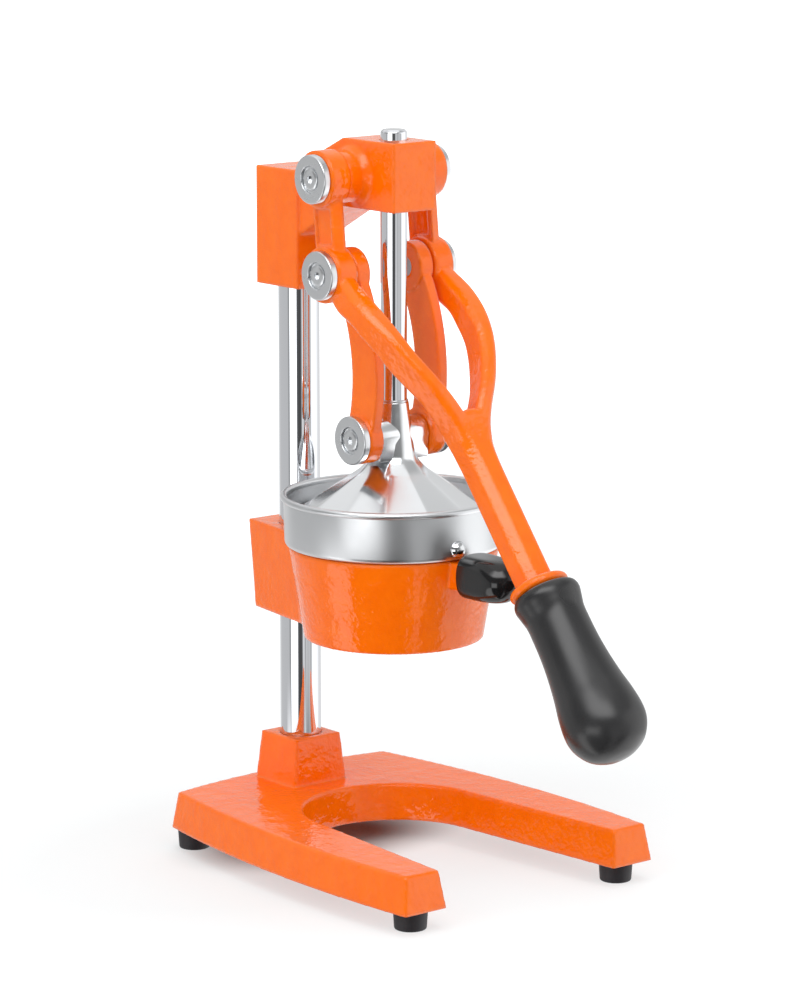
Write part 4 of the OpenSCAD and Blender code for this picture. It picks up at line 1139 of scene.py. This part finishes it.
@dataclass
class Studio:
    """A white studio: a pale floor, soft lamps and walls that only mirror-like pieces see."""

    azimuth: float = -39.18
    elevation: float = 10.965
    distance: float = 2.0862
    lens: float = 150.6
    sensor: float = 36.0
    aim: tuple[float, float] = (-0.021187, 0.195717)
    ambient: float = 0.7
    overhead: float = 1.1
    floor_reach: float = 6.0
    lamp_aim: float = 0.18

    def build(self) -> None:
        """Builds the camera, world, floor and lamps."""
        self.camera()
        self.world()
        self.floor()
        self.lamps()
        bpy.context.scene.view_settings.view_transform = "Standard"

    def directions(self) -> tuple[Vector, Vector, Vector]:
        """Works out the directions by which the camera, the walls and the lamps are placed.

        Returns:
            The picture's right-hand direction, the level way to the camera and the way to the camera.
        """
        az, el = math.radians(self.azimuth), math.radians(self.elevation)
        right = Vector((math.cos(az), math.sin(az), 0))
        level = Vector((math.sin(az), -math.cos(az), 0))
        back = Vector((level.x * math.cos(el), level.y * math.cos(el), math.sin(el)))
        return right, level, back

    def camera(self) -> None:
        """Stands the camera where the picture was taken from."""
        right, _, back = self.directions()
        data = bpy.data.cameras.new("camera")
        data.lens, data.sensor_width = self.lens, self.sensor
        data.clip_start, data.clip_end = 0.1, 50.0
        camera = stand("camera", data)
        target = right * self.aim[0] + Vector((0, 0, self.aim[1]))
        turn = Matrix((right, back.cross(right), back)).transposed().to_4x4()
        camera.matrix_world = Matrix.Translation(target + back * self.distance) @ turn
        bpy.context.scene.camera = camera

    def world(self) -> None:
        """Builds the world: white to the camera, even to rough surfaces, and studio walls to mirrors.

        What mirrors see is a grey for each compass direction, measured from the camera's side, in four
        bands of height, with an even grey straight above.
        """
        right, level, _ = self.directions()
        world = bpy.data.worlds.new("studio")
        bpy.context.scene.world = world
        world.use_nodes = True
        tree = world.node_tree
        tree.nodes.clear()
        way = {0: (add(tree, "TexCoord"), "Generated")}
        sideways = add(tree, "VectorMath", {"operation": "DOT_PRODUCT", 1: right}, way)
        facing = add(tree, "VectorMath", {"operation": "DOT_PRODUCT", 1: level}, way)
        angle = add(tree, "Math", {"operation": "ARCTAN2"}, {0: (sideways, "Value"), 1: (facing, "Value")})
        turn = add(tree, "MapRange", {"From Min": -math.pi, "From Max": math.pi}, {"Value": (angle, "Value")})
        ramps = []
        for table in (UPRIGHT, LEVEL, SLOPING, LEANING):
            ramps.append(add(tree, "ValToRGB", links={"Fac": (turn, "Result")}))
            self.set_greys(ramps[-1].color_ramp.elements, table)
        upright, flat, sloping, leaning = ramps
        split = add(tree, "SeparateXYZ", links=way)
        grey = (self.overhead, self.overhead, self.overhead, 1.0)
        bands = (upright, "Color")
        # Each band takes over from the one before between two heights of the mirrored direction
        for source, start, end in (
                (flat, -0.04, 0.06), (sloping, 0.42, 0.6), (None, 0.84, 0.93), (leaning, -0.3, -0.4)):
            share = add(tree, "MapRange", {"interpolation_type": "SMOOTHSTEP", "From Min": start, "From Max": end},
                        {"Value": (split, "Z")})
            links = {0: (share, "Result"), 6: bands}
            if source:
                links[7] = (source, "Color")
            bands = (add(tree, "Mix", {"data_type": "RGBA", 7: grey}, links), 2)
        path = add(tree, "LightPath")
        plain = (self.ambient, self.ambient, self.ambient, 1.0)
        mirrored = add(tree, "Mix", {"data_type": "RGBA", 6: plain}, {0: (path, "Is Glossy Ray"), 7: bands})
        seen = add(tree, "Mix", {"data_type": "RGBA", 7: (1.0, 1.0, 1.0, 1.0)},
                   {0: (path, "Is Camera Ray"), 6: (mirrored, 2)})
        shader = add(tree, "Background", links={"Color": (seen, 2)})
        add(tree, "OutputWorld", links={"Surface": (shader, "Background")})

    @staticmethod
    def set_greys(elements: bpy.types.ColorRampElements, table: Rows) -> None:
        """Fills a colour ramp.

        Args:
            elements: the ramp's elements.
            table: (degrees, grey) rows that rise from -180 to 180.
        """
        while len(elements) < len(table):
            elements.new(0.5)
        for element, (degrees, grey) in zip(elements, table):
            element.position = degrees / 360 + 0.5
            element.color = (grey, grey, grey, 1.0)

    def floor(self) -> None:
        """Lays a pale floor that shows as white and keeps the press's real soft shadow, deepened by painted shade.

        To the camera the paper also glows, a little near the press and more with the distance from it, so the floor
        near the press is painted darker: painted shade on top of the real shadow. The bare middle between the legs,
        where the shadow is deepest, doesn't glow at all, which paints the darkest shade there.
        """
        line = (-self.floor_reach, self.floor_reach)
        mesh = bpy.data.meshes.new("floor")
        mesh.from_pydata([(x, y, 0) for y in line for x in line], [], [(0, 1, 3, 2)])
        floor = stand("floor", mesh)
        material, tree = blank("white_floor_paper")
        path = add(tree, "LightPath")
        tone = add(tree, "Mix", {"data_type": "RGBA", 6: linear("#dedede"), 7: linear("#9fa3a4")},
                   {0: (path, "Is Camera Ray")})
        paper = add(tree, "BsdfDiffuse", links={"Color": (tone, 2)})
        place = add(tree, "TexCoord")
        wide = add(tree, "VectorMath", {"operation": "MULTIPLY", 1: (0.6, 1.0, 1.0)}, {0: (place, "Object")})
        apart = add(tree, "VectorMath", {"operation": "DISTANCE", 1: (0.0, 0.1, 0.0)}, {0: (wide, "Vector")})
        distance = {"Value": (apart, "Value")}
        # Painted shade: the camera-only glow is zero close to the press and rises with the distance, so the floor is
        # painted darker near and under the press
        near = add(tree, "MapRange", {"interpolation_type": "SMOOTHSTEP", "From Min": 0.018, "From Max": 0.058,
                                      "To Max": 0.57}, distance)
        around = add(tree, "MapRange", {"From Min": 0.1, "From Max": 0.22, "To Max": 0.11}, distance)
        far = add(tree, "MapRange", {"From Min": 0.3, "From Max": 2.0, "To Max": 0.6}, distance)
        close = add(tree, "Math", {"operation": "ADD"}, {0: (near, "Result"), 1: (around, "Result")})
        total = add(tree, "Math", {"operation": "ADD"}, {0: (close, "Value"), 1: (far, "Result")})
        level = add(tree, "Math", {"operation": "MULTIPLY"}, {0: (path, "Is Camera Ray"), 1: (total, "Value")})
        glow = add(tree, "Emission", {"Color": (1, 1, 1, 1)}, {"Strength": (level, "Value")})
        both = add(tree, "AddShader", links={0: (paper, 0), 1: (glow, 0)})
        add(tree, "OutputMaterial", links={"Surface": (both, 0)})
        mesh.materials.append(material)
        floor.visible_glossy = False

    def lamps(self) -> None:
        """Hangs the soft lamps: one wide above, one from each side of the camera and one behind the press."""
        right, level, _ = self.directions()
        # name, metres towards the camera, to the right and up, side in metres, power in watts
        lamps = (("overhead", 0.3, 0.0, 1.6, 1.6, 11.0), ("left_fill", 1.3, -1.5, 1.0, 1.4, 11.6),
                 ("right_fill", 1.5, 1.6, 0.9, 1.4, 8.0), ("rear_fill", -1.9, 0.4, 0.8, 1.4, 9.0))
        for name, near, across, up, size, power in lamps:
            spot = level * near + right * across + Vector((0, 0, up))
            data = bpy.data.lights.new(name, "AREA")
            data.shape, data.size, data.energy = "SQUARE", size, power
            lamp = stand(name, data)
            aim = (Vector((0, 0, self.lamp_aim)) - spot).normalized()
            lamp.matrix_world = Matrix.Translation(spot) @ aim.to_track_quat("-Z", "Y").to_matrix().to_4x4()
            lamp.visible_glossy = False
            lamp.visible_camera = False


def main() -> None:
    """Builds the press's looks in order."""
    logging.basicConfig(level=logging.INFO, format="%(name)s: %(message)s")
    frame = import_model()
    Studio().build()
    places = Places(frame)
    Castings().build(frame)
    Feet().build(places)
    Bars().build(places)
    PivotCaps().build(places)
    StrainerCup().build(places)
    PressBell().build(places)
    Grips().build(places)
    PlainNodes().build(frame)


if __name__ == "__main__":
    main()
